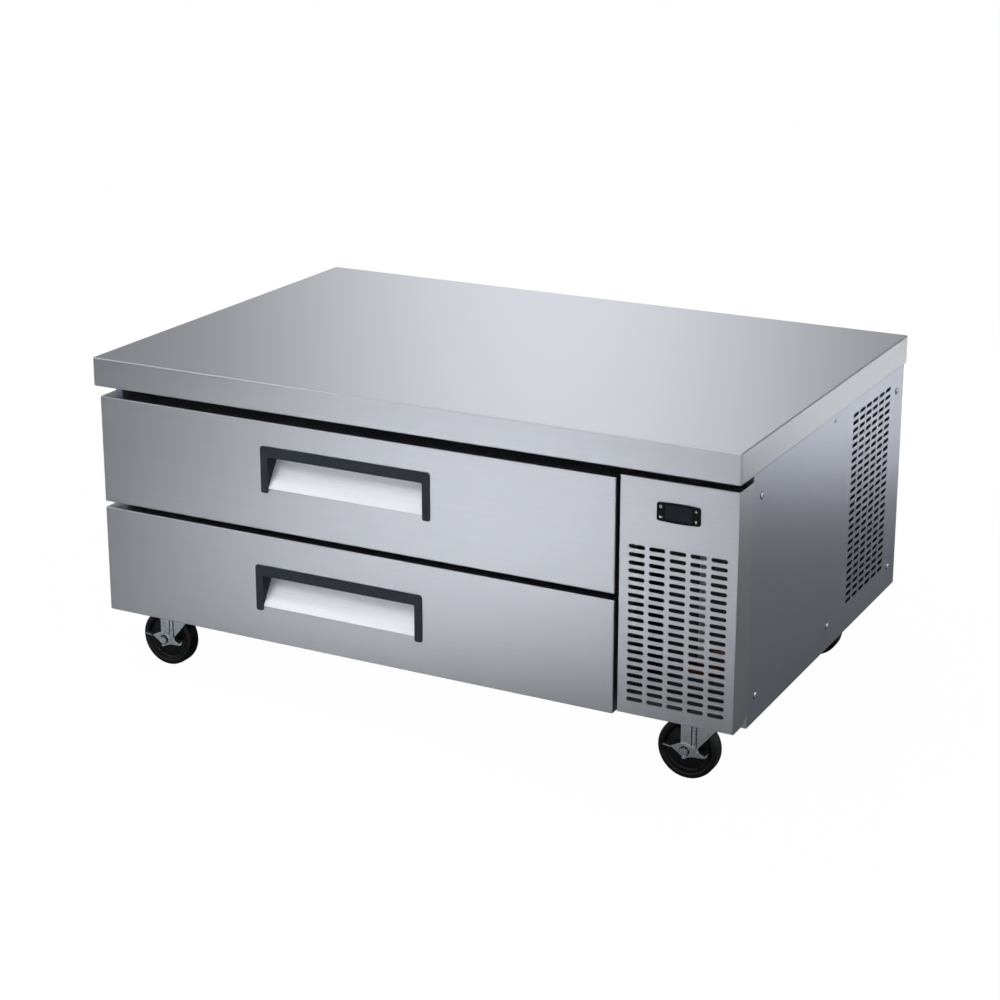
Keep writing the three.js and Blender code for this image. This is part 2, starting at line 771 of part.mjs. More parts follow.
// Casters, each in a group with its origin on the floor under the swivel axis
const forkInside = hubLength * half + forkSpace;
const forkOutside = forkInside + forkSheet;
const raceTop = casterHeight - seat - plateThickness;
const crownTop = raceTop - raceHeight - seat;
const crownLow = crownTop - forkSheet;

function casterPlate() {
  const plate = block(
    [-plateWidth * half, -plateDepth * half, raceTop],
    [plateWidth * half, plateDepth * half, casterHeight - seat]);
  const race = rod(raceRadius,
    [0, 0, raceTop - raceHeight], [0, 0, raceTop + plateThickness * half], 16);
  return join(plate, race);
}

function casterFork(braked) {
  const crown = rod(crownRadius, [0, 0, crownLow], [0, 0, crownTop], 16);
  const bearing = -casterTrail;
  const leg = polygon([
    [-crownRadius, crownLow + forkSheet * half], [-crownRadius, wheelRadius],
    [bearing - hubRadius * half, wheelRadius - hubRadius * half - axleRadius],
    [bearing + hubRadius * half, wheelRadius - hubRadius * half - axleRadius],
    [bearing + hubRadius * 2, wheelRadius + axleRadius],
    [crownRadius, crownLow - axleRadius * 2], [crownRadius, crownLow + forkSheet * half],
  ].reverse());
  const frontLeg = drawnAlongY(leg, -forkOutside, -forkInside);
  const rearLeg = drawnAlongY(leg, forkInside, forkOutside);
  const bridge = block(
    [-crownRadius, -forkOutside, crownLow], [crownRadius, forkOutside, crownTop]);
  const headGap = braked ? pedalSheet + pedalClearance : 0;
  const boltFront = -forkOutside - headGap - boltHeadLength;
  const axle = rod(axleRadius, [bearing, boltFront + boltHeadLength * half, wheelRadius],
    [bearing, forkOutside + boltHeadLength, wheelRadius], 10);
  const head = rod(boltHeadRadius, [bearing, boltFront, wheelRadius],
    [bearing, boltFront + boltHeadLength, wheelRadius], 6);
  const nut = rod(boltHeadRadius, [bearing, forkOutside - forkSheet * half, wheelRadius],
    [bearing, forkOutside + boltHeadLength * half, wheelRadius], 6);
  return join(crown, bridge, frontLeg, rearLeg, axle, head, nut);
}

// Closed ring profile turned about the axle; one flat of the tread faces the floor
function casterWheel() {
  const outer = wheelRadius / Math.cos(Math.PI / wheelSides);
  const bore = axleRadius + axleClearance;
  const tread = treadWidth * half;
  const web = webWidth * half;
  const hub = hubLength * half;
  const side = [
    [bore, hub], [hubRadius, hub], [hubRadius, web], [rimRadius, web],
    [rimRadius, tread], [outer - wheelChamfer, tread], [outer, tread - wheelChamfer],
  ];
  const mirrored = side.map(([radius, across]) => [radius, -across]);
  const profile = [...mirrored, ...side.reverse(), mirrored[0]];
  return new THREE.LatheGeometry(
    profile.map(([radius, across]) => new THREE.Vector2(radius, across)),
    wheelSides, Math.PI / wheelSides);
}

// Stamped brake pedal: a boat-shaped plate on the axle bolt with a tab at each end
function brakePedal() {
  const low = -pedalDrop;
  const shoulder = hubRadius + axleRadius;
  const outline = polygon([
    [-pedalLeft, pedalRise - pedalSheet], [-shoulder, low * half], [-hubRadius * half, low],
    [shoulder, low], [pedalRight, pedalRise * half - pedalSheet], [pedalRight, pedalRise * half],
    [shoulder, pedalRise * half], [hubRadius * half, pedalDrop], [-hubRadius * half, pedalDrop],
    [-shoulder, pedalRise], [-pedalLeft, pedalRise],
  ]);
  const y1 = -forkOutside - pedalClearance * half;
  const y0 = y1 - pedalSheet + pedalClearance * half;
  const plate = drawnAlongY(outline, y0, y1);
  const leftTab = block(
    [-pedalLeft, y0 - pedalTab, pedalRise - pedalSheet], [-shoulder, y1, pedalRise]);
  const rightTab = block(
    [pedalRight - pedalTab, y0 - pedalTab * half, pedalRise * half - pedalSheet],
    [pedalRight, y1, pedalRise * half]);
  const bore = rod(axleRadius + axleClearance, [0, y0 - overrun, 0], [0, y1 + overrun, 0], 10);
  return cut(join(plate, leftTab, rightTab), bore);
}

function caster(label, x, y, braked) {
  const group = new THREE.Group();
  group.position.set(x, y, 0);
  chefBase.add(group);
  place(group, `${label}_caster_plate`, casterPlate(), zinc);
  place(group, `${label}_caster_fork`, casterFork(braked), zinc);
  const axlePlace = [-casterTrail, 0, wheelRadius];
  place(group, `${label}_caster_wheel`, casterWheel(), wheelRubber, axlePlace);
  if (braked) {
    place(group, `${label}_brake_pedal`, brakePedal(), zinc, axlePlace);
  }
}
const casterSides = [["left", left + casterSideInset], ["right", right - casterSideInset]];
for (const [sideName, x] of casterSides) {
  caster(`front_${sideName}`, x, front + casterFrontInset, true);
  caster(`rear_${sideName}`, x, back - casterBackInset, false);
}

// Condensing unit in the machine compartment
const machineCentre = (partitionRight + innerRight) * half;
const coilFront = bodyFront + coilSetback;
const coilBack = coilFront + coilDepth;
const coilLow = baseTop + coilLift;
const coilTop = bodyTop - coilRoofGap;
const fanZ = (coilLow + coilTop) * half;
const shroudHalf = coilWidth * half + endPlate + shroudGap;
const shroudBack = coilBack + shroudDepth;

function condenserCoil() {
  const x = coilWidth * half;
  const fins = block([-x, coilFront, coilLow], [x, coilBack, coilTop]);
  const plates = [-1, 1].map((side) => block(
    [Math.min(side * x, side * (x + endPlate)), coilFront, coilLow - endPlateLap],
    [Math.max(side * x, side * (x + endPlate)), coilBack, coilTop + endPlateLap]));
  return join(fins, ...plates);
}
place(chefBase, "condenser_coil", condenserCoil(), finPack, [machineCentre, 0, 0]);

function fanShroud() {
  const low = baseTop + seat;
  const top = coilTop + endPlateLap + seat + shroudSheet;
  const plate = rectangle(-shroudHalf, low, shroudHalf, top);
  const hole = new THREE.Path();
  hole.absarc(0, fanZ, fanRadius + fanClearance, 0, Math.PI * 2);
  plate.holes.push(hole);
  const plateFront = coilBack + seat;
  const face = drawnAlongY(plate, plateFront, plateFront + shroudSheet, 8);
  const wallFront = coilFront - shroudSheet - seat;
  const walls = [-1, 1].map((side) => block(
    [Math.min(side * shroudHalf, side * (shroudHalf - shroudSheet)), wallFront, low],
    [Math.max(side * shroudHalf, side * (shroudHalf - shroudSheet)), shroudBack, top]));
  const roof = block([-shroudHalf, wallFront, top - shroudSheet], [shroudHalf, shroudBack, top]);
  const floor = block(
    [-shroudHalf, wallFront, low], [shroudHalf, shroudBack, low + shroudSheet]);
  const sill = block(
    [-coilWidth * half, coilFront, low], [coilWidth * half, coilBack, coilLow - seat]);
  const strap = block(
    [strapShift - strapWidth * half, wallFront, low],
    [strapShift + strapWidth * half, coilFront - seat, top]);
  const arm = block(
    [-armWidth * half, shroudBack - armWidth * half, low], [armWidth * half, shroudBack, top]);
  const motor = rod(motorRadius, [0, shroudBack - armWidth * half, fanZ],
    [0, shroudBack - armWidth * half + motorLength, fanZ], 16);
  const shaft = rod(shaftRadius, [0, shroudBack - armWidth * half - fanHubLength, fanZ],
    [0, shroudBack, fanZ], 8);
  return join(face, ...walls, roof, floor, sill, strap, arm, motor, shaft);
}

// Axial fan: hub with pitched blades on a bored hub, turning about Y
function fanWheel(radius, hubSize, length, bore) {
  const hub = rod(hubSize, [0, 0, 0], [0, length, 0], 14);
  const blades = [];
  for (let blade = 0; blade < bladeCount; blade += 1) {
    const reach = radius - hubSize * half;
    const paddle = new THREE.BoxGeometry(bladeWidth, bladeThickness, reach);
    paddle.rotateZ(THREE.MathUtils.degToRad(bladePitch));
    paddle.translate(0, length * half, (hubSize + reach) * half);
    paddle.rotateY((blade / bladeCount) * Math.PI * 2);
    blades.push(paddle);
  }
  const hole = rod(bore, [0, -overrun, 0], [0, length + overrun, 0], 8);
  return cut(join(hub, ...blades), hole);
}

place(chefBase, "condenser_fan_shroud", fanShroud(), galvanised, [machineCentre, 0, 0]);
const fanBack = shroudBack - armWidth * half - seat * 2;
const fanLength = fanHubLength - seat * 2;
const fanBore = shaftRadius + shaftClearance;
place(chefBase, "condenser_fan", fanWheel(fanRadius - fanTipGap, fanHub, fanLength, fanBore),
  fanPlastic, [machineCentre, fanBack - fanLength, fanZ]);

const trayFront = innerBack - trayBackGap - trayDepth;
const compressorY = trayFront + trayDepth * half;
const trayTop = baseTop + seat + shroudSheet;

function compressorTray() {
  const x = trayWidth * half;
  const outer = block(
    [-x, trayFront, baseTop + seat], [x, trayFront + trayDepth, baseTop + seat + trayLip]);
  const hollow = block(
    [-x + shroudSheet, trayFront + shroudSheet, trayTop],
    [x - shroudSheet, trayFront + trayDepth - shroudSheet, baseTop + trayLip + overrun]);
  return cut(outer, hollow);
}
place(chefBase, "compressor_tray", compressorTray(), galvanised, [machineCentre, 0, 0]);

const canShares = [
  [0, 0], [0.72, 0], [0.95, 0.08], [1, 0.2], [1, 0.72], [0.9, 0.88], [0.6, 0.97], [0, 1],
];

function compressorCan() {
  const footTop = trayTop + seat + compressorFoot;
  const dome = new THREE.LatheGeometry(canShares.map(([across, up]) =>
    new THREE.Vector2(compressorRadius * across, compressorHeight * up)), 18);
  dome.rotateX(Math.PI / 2).translate(0, 0, footTop);
  const plate = block(
    [-footSpread - footRadius, -footSpread - footRadius, footTop - shroudSheet * half],
    [footSpread + footRadius, footSpread + footRadius, footTop + shroudSheet]);
  const feet = [];
  for (const x of [-footSpread, footSpread]) {
    for (const y of [-footSpread, footSpread]) {
      feet.push(rod(footRadius, [x, y, trayTop + seat], [x, y, footTop], 8));
    }
  }
  const boxZ = footTop + compressorHeight * half;
  const terminalBox = block(
    [-terminalWidth * half, compressorRadius - terminalDepth, boxZ - terminalWidth * half],
    [terminalWidth * half, compressorRadius + terminalDepth, boxZ + terminalWidth * half]);
  return join(dome, plate, ...feet, terminalBox);
}
place(chefBase, "compressor", compressorCan(), compressorPaint, [machineCentre, compressorY, 0]);

// Copper pipes: straight runs with rounded corners, drawn along a path
function pipe(points) {
  const path = new THREE.CurvePath();
  const corners = points.map((point) => new THREE.Vector3(...point));
  let start = corners[0];
  for (let index = 1; index < corners.length - 1; index += 1) {
    const corner = corners[index];
    const into = corner.clone().sub(corners[index - 1]).normalize();
    const out = corners[index + 1].clone().sub(corner).normalize();
    const before = corner.clone().addScaledVector(into, -pipeBend);
    const after = corner.clone().addScaledVector(out, pipeBend);
    path.add(new THREE.LineCurve3(start, before));
    path.add(new THREE.QuadraticBezierCurve3(before, corner, after));
    start = after;
  }
  path.add(new THREE.LineCurve3(start, corners[corners.length - 1]));
  const section = new THREE.Shape();
  section.absarc(0, 0, pipeRadius, 0, Math.PI * 2);
  return new THREE.ExtrudeGeometry(section, {
    extrudePath: path, steps: 26, curveSegments: pipeSides / 2, bevelEnabled: false,
  });
}

const compressorTop = trayTop + seat + compressorFoot + compressorHeight;
const pipeHigh = compressorTop + pipeBend * 2 + pipeRadius;
const dischargeX = innerRight - pipeRadius * 2;
const dischargeY = coilFront - shroudSheet - pipeRadius * 3;
place(chefBase, "discharge_pipe", pipe([
  [machineCentre, compressorY, compressorTop + seat],
  [machineCentre, compressorY, pipeHigh],
  [dischargeX, compressorY, pipeHigh],
  [dischargeX, dischargeY, pipeHigh],
  [dischargeX, dischargeY, crossPipeHeight],
  [dischargeX - crossPipeLength, dischargeY, crossPipeHeight],
]), copper);

// Evaporator on the back wall of the cold compartment
const cavityCentre = (cavityLeft + cavityRight) * half;
const evaporatorLow = linerBottom + evaporatorFloorGap;
const evaporatorTop = cavityTop - evaporatorRoofGap;
const evaporatorZ = (evaporatorLow + evaporatorTop) * half;
const evaporatorCoilFront = evaporatorBack - evaporatorCoilDepth;

place(chefBase, "evaporator_coil", block(
  [-evaporatorCoilWidth * half, evaporatorCoilFront, evaporatorLow + evaporatorCoilInset],
  [evaporatorCoilWidth * half, evaporatorBack, evaporatorTop - evaporatorCoilInset]),
aluminium, [cavityCentre, 0, 0]);

function evaporatorCover() {
  const x = evaporatorWidth * half;
  const outer = block([-x, evaporatorFront, evaporatorLow], [x, evaporatorBack, evaporatorTop]);
  const hollow = block(
    [-x + linerSheet, evaporatorFront + linerSheet, evaporatorLow + linerSheet],
    [x - linerSheet, evaporatorBack + overrun, evaporatorTop - linerSheet]);
  const hole = rod(evaporatorFanRadius + fanClearance, [0, evaporatorFront - overrun, evaporatorZ],
    [0, evaporatorFront + linerSheet + overrun, evaporatorZ], 20);
  const motorBack = evaporatorCoilFront - seat;
  const motorFront = motorBack - evaporatorMotorLength;
  const motor = rod(evaporatorMotor, [0, motorFront, evaporatorZ], [0, motorBack, evaporatorZ], 12);
  const shaft = rod(shaftRadius, [0, evaporatorFront - linerSheet, evaporatorZ],
    [0, motorFront + linerSheet, evaporatorZ], 8);
  const arm = block(
    [-armWidth * half, motorFront + linerSheet * 4, evaporatorLow],
    [armWidth * half, motorBack - linerSheet * 4, evaporatorTop]);
  const coilSide = evaporatorCoilWidth * half + seat;
  const wings = [-1, 1].map((side) => block(
    [Math.min(side * x, side * coilSide), evaporatorCoilFront, evaporatorLow],
    [Math.max(side * x, side * coilSide), evaporatorCoilFront + linerSheet, evaporatorTop]));
  return join(cut(outer, hollow, hole), motor, shaft, arm, ...wings);
}
place(chefBase, "evaporator_cover", evaporatorCover(), aluminium, [cavityCentre, 0, 0]);

const evaporatorMotorFront = evaporatorCoilFront - seat - evaporatorMotorLength;
const evaporatorHubLength = evaporatorMotorFront - evaporatorFront - seat;
place(chefBase, "evaporator_fan",
  fanWheel(evaporatorFanRadius, evaporatorHub, evaporatorHubLength, fanBore),
  fanPlastic, [cavityCentre, evaporatorFront, evaporatorZ]);

// Mains inlet: a cable gland on the back panel
function cableGland() {
  const profile = [
    [glandBore, 0], [glandCollar, 0], [glandCollar, glandCollarLength],
    [glandRadius, glandCollarLength], [glandRadius, glandLength],
    [glandBore, glandLength], [glandBore, 0],
  ];
  return new THREE.LatheGeometry(
    profile.map(([radius, along]) => new THREE.Vector2(radius, along)), 12);
}
place(chefBase, "mains_gland", cableGland(), framePlastic,
  [right - glandInset, bodyBack + seat, glandHeight]);

export default chefBase;
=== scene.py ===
# Refrigerated chef base: fine shapes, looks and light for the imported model. Blender works in
# metres, the tables and shapes here are in millimetres.
import math
import bpy
from mathutils import Matrix, Vector


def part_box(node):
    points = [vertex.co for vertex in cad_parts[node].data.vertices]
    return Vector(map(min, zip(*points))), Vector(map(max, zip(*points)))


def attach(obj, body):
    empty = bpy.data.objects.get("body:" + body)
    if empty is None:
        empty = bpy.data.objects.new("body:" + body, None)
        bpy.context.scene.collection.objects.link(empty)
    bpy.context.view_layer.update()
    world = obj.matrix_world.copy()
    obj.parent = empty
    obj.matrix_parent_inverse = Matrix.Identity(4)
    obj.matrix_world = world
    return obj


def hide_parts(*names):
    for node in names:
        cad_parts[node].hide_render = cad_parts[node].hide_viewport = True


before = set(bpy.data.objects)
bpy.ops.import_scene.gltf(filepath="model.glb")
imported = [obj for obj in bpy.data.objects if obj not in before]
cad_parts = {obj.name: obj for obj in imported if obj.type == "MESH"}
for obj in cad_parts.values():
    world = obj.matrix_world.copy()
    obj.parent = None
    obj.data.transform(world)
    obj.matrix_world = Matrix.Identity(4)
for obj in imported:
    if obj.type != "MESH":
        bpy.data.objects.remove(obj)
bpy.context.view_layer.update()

mm = 0.001
past = 5  # how far a cutter reaches beyond the piece that it cuts
smoothBelow = math.radians(35)  # sharper folds keep a crease


# small tools

def deselectAll():
    if bpy.context.object and bpy.context.object.mode != "OBJECT":
        bpy.ops.object.mode_set(mode="OBJECT")
    bpy.ops.object.select_all(action="DESELECT")


def makeActive(piece):
    deselectAll()
    piece.select_set(True)
    bpy.context.view_layer.objects.active = piece


def boxOf(node):  # corners of a CAD node in mm
    low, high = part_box(node)
    return low / mm, high / mm


def addBox(name, low, high):  # a cube primitive between two corners, with its place in its mesh
    deselectAll()
    low, high = Vector(low) * mm, Vector(high) * mm
    bpy.ops.mesh.primitive_cube_add(size=1, location=(low + high) / 2, scale=high - low)
    piece = bpy.context.object
    piece.name = piece.data.name = name
    bpy.ops.object.transform_apply(location=True, rotation=True, scale=True)
    return piece


def pick(piece, kind, test):  # selects what passes the test and stays in edit mode
    makeActive(piece)
    bpy.ops.object.mode_set(mode="EDIT")
    bpy.ops.mesh.select_mode(type=kind)
    bpy.ops.mesh.select_all(action="DESELECT")
    bpy.ops.object.mode_set(mode="OBJECT")
    points = piece.data.vertices
    if kind == "FACE":
        for face in piece.data.polygons:
            face.select = test(face.center / mm, face.normal)
    elif kind == "EDGE":
        for edge in piece.data.edges:
            start, end = (points[index].co for index in edge.vertices)
            edge.select = test((start + end) / 2 / mm, (end - start).normalized())
    else:
        for point in points:
            point.select = test(point.co / mm)
    bpy.ops.object.mode_set(mode="EDIT")


def roundEdges(piece, test, radius, segments=3):
    pick(piece, "EDGE", test)
    bpy.ops.mesh.bevel(offset=radius * mm, offset_type="OFFSET", segments=segments, affect="EDGES")
    bpy.ops.object.mode_set(mode="OBJECT")


def dropFaces(piece, test):
    pick(piece, "FACE", test)
    bpy.ops.mesh.delete(type="FACE")
    bpy.ops.object.mode_set(mode="OBJECT")


def shapeWith(piece, kind, **settings):  # adds a modifier and applies it
    makeActive(piece)
    modifier = piece.modifiers.new(kind.title(), kind)
    for setting, value in settings.items():
        setattr(modifier, setting, value)
    bpy.ops.object.modifier_apply(modifier=modifier.name)


def thicken(piece, wall):  # gives an open shell its wall, inwards
    shapeWith(piece, "SOLIDIFY", thickness=wall * mm, offset=-1, use_even_offset=True)


def combine(piece, operation, *tools):
    for tool in tools:
        shapeWith(piece, "BOOLEAN", operation=operation, solver="EXACT", object=tool)
        bpy.data.objects.remove(tool)


def easeEdges(piece, width, segments=2, angle=40):
    shapeWith(piece, "BEVEL", width=width * mm, segments=segments, limit_method="ANGLE",
              angle_limit=math.radians(angle), harden_normals=False)


def copyPiece(piece, name, move):  # a copy with its own mesh
    makeActive(piece)
    bpy.ops.object.duplicate(linked=False)
    copied = bpy.context.object
    copied.name = copied.data.name = name
    copied.data.transform(Matrix.Translation(move * mm))
    return copied


def merge(name, pieces):  # several pieces as one object
    deselectAll()
    for piece in pieces:
        piece.select_set(True)
    bpy.context.view_layer.objects.active = pieces[0]
    if len(pieces) > 1:
        bpy.ops.object.join()
    pieces[0].name = pieces[0].data.name = name
    return pieces[0]


axisTurns = {  # from a shape drawn along local Z
    "X": Matrix(((0, 0, 1, 0), (1, 0, 0, 0), (0, 1, 0, 0), (0, 0, 0, 1))),
    "Y": Matrix(((0, 1, 0, 0), (0, 0, 1, 0), (1, 0, 0, 0), (0, 0, 0, 1))),
    "Z": Matrix.Identity(4),
}


def settle(piece, axis, middle):  # turns a shape drawn along Z, puts it in place and closes it
    bpy.ops.mesh.select_all(action="SELECT")
    bpy.ops.mesh.remove_doubles(threshold=0.00001)
    bpy.ops.mesh.fill_holes(sides=0)
    bpy.ops.mesh.normals_make_consistent(inside=False)
    bpy.ops.object.mode_set(mode="OBJECT")
    piece.data.transform(Matrix.Translation(Vector(middle) * mm) @ axisTurns[axis])


def addTurned(name, middle, axis, rings, sides=48):  # rings: radius and distance along the axis
    deselectAll()
    radius, along = rings[0]
    bpy.ops.mesh.primitive_circle_add(
        vertices=sides, radius=radius * mm, location=(0, 0, 0), fill_type="NOTHING")
    piece = bpy.context.object
    piece.name = piece.data.name = name
    bpy.ops.object.mode_set(mode="EDIT")
    bpy.ops.transform.translate(value=(0, 0, along * mm))
    for nextRadius, nextAlong in rings[1:]:
        step = (0, 0, (nextAlong - along) * mm)
        bpy.ops.mesh.extrude_region_move(TRANSFORM_OT_translate={"value": step})
        share = nextRadius / radius
        bpy.ops.transform.resize(value=(share, share, 1), center_override=(0, 0, nextAlong * mm))
        radius, along = nextRadius, nextAlong
    settle(piece, axis, middle)
    return piece


def addLoft(name, middle, axis, stations):
    # stations: distance along the axis, then low and high on the two axes that follow it
    deselectAll()
    bpy.ops.mesh.primitive_plane_add(size=1)
    piece = bpy.context.object
    piece.name = piece.data.name = name
    bpy.ops.object.mode_set(mode="EDIT")
    along, low, high = 0, Vector((-500, -500)), Vector((500, 500))  # the plane is 1 m wide
    for count, (nextAlong, lowU, highU, lowV, highV) in enumerate(stations):
        if count:
            bpy.ops.mesh.extrude_region_move()
        nextLow, nextHigh = Vector((lowU, lowV)), Vector((highU, highV))
        centre, nextCentre = (low + high) / 2, (nextLow + nextHigh) / 2
        grow = [(nextHigh - nextLow)[i] / (high - low)[i] for i in (0, 1)]
        bpy.ops.transform.resize(
            value=(*grow, 1), center_override=(centre.x * mm, centre.y * mm, along * mm))
        shift = nextCentre - centre
        bpy.ops.transform.translate(value=(shift.x * mm, shift.y * mm, (nextAlong - along) * mm))
        along, low, high = nextAlong, nextLow, nextHigh
    settle(piece, axis, middle)
    return piece


def coat(piece, material):
    piece.data.materials.clear()
    piece.data.materials.append(material)


def finishPiece(piece, body, slot, material, *nodes):
    makeActive(piece)
    bpy.ops.object.shade_smooth_by_angle(angle=smoothBelow)
    shapeWith(piece, "WEIGHTED_NORMAL", weight=100, keep_sharp=True)  # wide faces stay flat
    coat(piece, material)
    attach(piece, body)
    if nodes:
        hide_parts(*nodes)


# camera

view = {"place": (1.7934, -3.4582, 1.6285), "pitch": 0.2813, "yaw": 0.482, "lens": 80.57,
        "shift": -0.1, "sensor": 36, "clip": 50}
bpy.ops.object.camera_add(
    location=view["place"], rotation=(math.pi / 2 - view["pitch"], 0, view["yaw"]))
camera = bpy.context.object
camera.data.lens = view["lens"]
camera.data.sensor_width = view["sensor"]
camera.data.shift_y = view["shift"]
camera.data.clip_end = view["clip"]
bpy.context.scene.camera = camera


# materials

def linear(hexColour):
    parts = [int(hexColour[i:i + 2], 16) / 255 for i in (1, 3, 5)]
    return [p / 12.92 if p <= 0.04045 else ((p + 0.055) / 1.055) ** 2.4 for p in parts] + [1]


def addNode(material, kind, inputs, **settings):
    node = material.node_tree.nodes.new(kind)
    for setting, value in settings.items():
        setattr(node, setting, value)
    for socket, value in inputs.items():
        if isinstance(value, bpy.types.NodeSocket):
            material.node_tree.links.new(value, node.inputs[socket])
        else:
            node.inputs[socket].default_value = value
    return node


def startMaterial(name, colour, roughness, metallic=0, **sockets):
    material = bpy.data.materials.new(name)
    material.use_nodes = True
    shader = material.node_tree.nodes["Principled BSDF"]
    shader.inputs["Base Color"].default_value = linear(colour)
    shader.inputs["Roughness"].default_value = roughness
    shader.inputs["Metallic"].default_value = metallic
    for socket, value in sockets.items():
        shader.inputs[socket.replace("_", " ")].default_value = value
    return material, shader


noise = {"detail": 2, "roughness": 0.55, "toneSpan": (0.3, 0.7), "glossSpan": (0.25, 0.75)}


def texture(material, shader, look):
    # one pattern drives the tone, the gloss and the relief, at the size given in mm
    place = addNode(material, "ShaderNodeTexCoord", {})
    scale = [1 / (size * mm) for size in look["size"]]
    spread = addNode(material, "ShaderNodeMapping",
                     {"Vector": place.outputs["Object"], "Scale": scale})
    pattern = addNode(material, "ShaderNodeTexNoise", {
        "Vector": spread.outputs["Vector"], "Scale": 1,
        "Detail": look.get("detail", noise["detail"]), "Roughness": noise["roughness"]})
    tones = addNode(material, "ShaderNodeValToRGB", {"Fac": pattern.outputs["Fac"]})
    for stop, at, tone in zip(tones.color_ramp.elements, noise["toneSpan"], ("dark", "light")):
        stop.position = at
        stop.color = linear(look[tone])
    gloss = addNode(material, "ShaderNodeMapRange", {
        "Value": pattern.outputs["Fac"], "From Min": noise["glossSpan"][0],
        "From Max": noise["glossSpan"][1], "To Min": look["gloss"][0],
        "To Max": look["gloss"][1]})
    relief = addNode(material, "ShaderNodeBump", {
        "Height": pattern.outputs["Fac"], "Strength": look["relief"],
        "Distance": look["depth"] * mm})
    links = material.node_tree.links
    links.new(tones.outputs["Color"], shader.inputs["Base Color"])
    links.new(gloss.outputs["Result"], shader.inputs["Roughness"])
    links.new(relief.outputs["Normal"], shader.inputs["Normal"])


def makeMaterial(name, look):
    material, shader = startMaterial(
        name, look["light"], look["gloss"][1], look.get("metallic", 0), **look.get("sockets", {}))
    texture(material, shader, look)
    return material


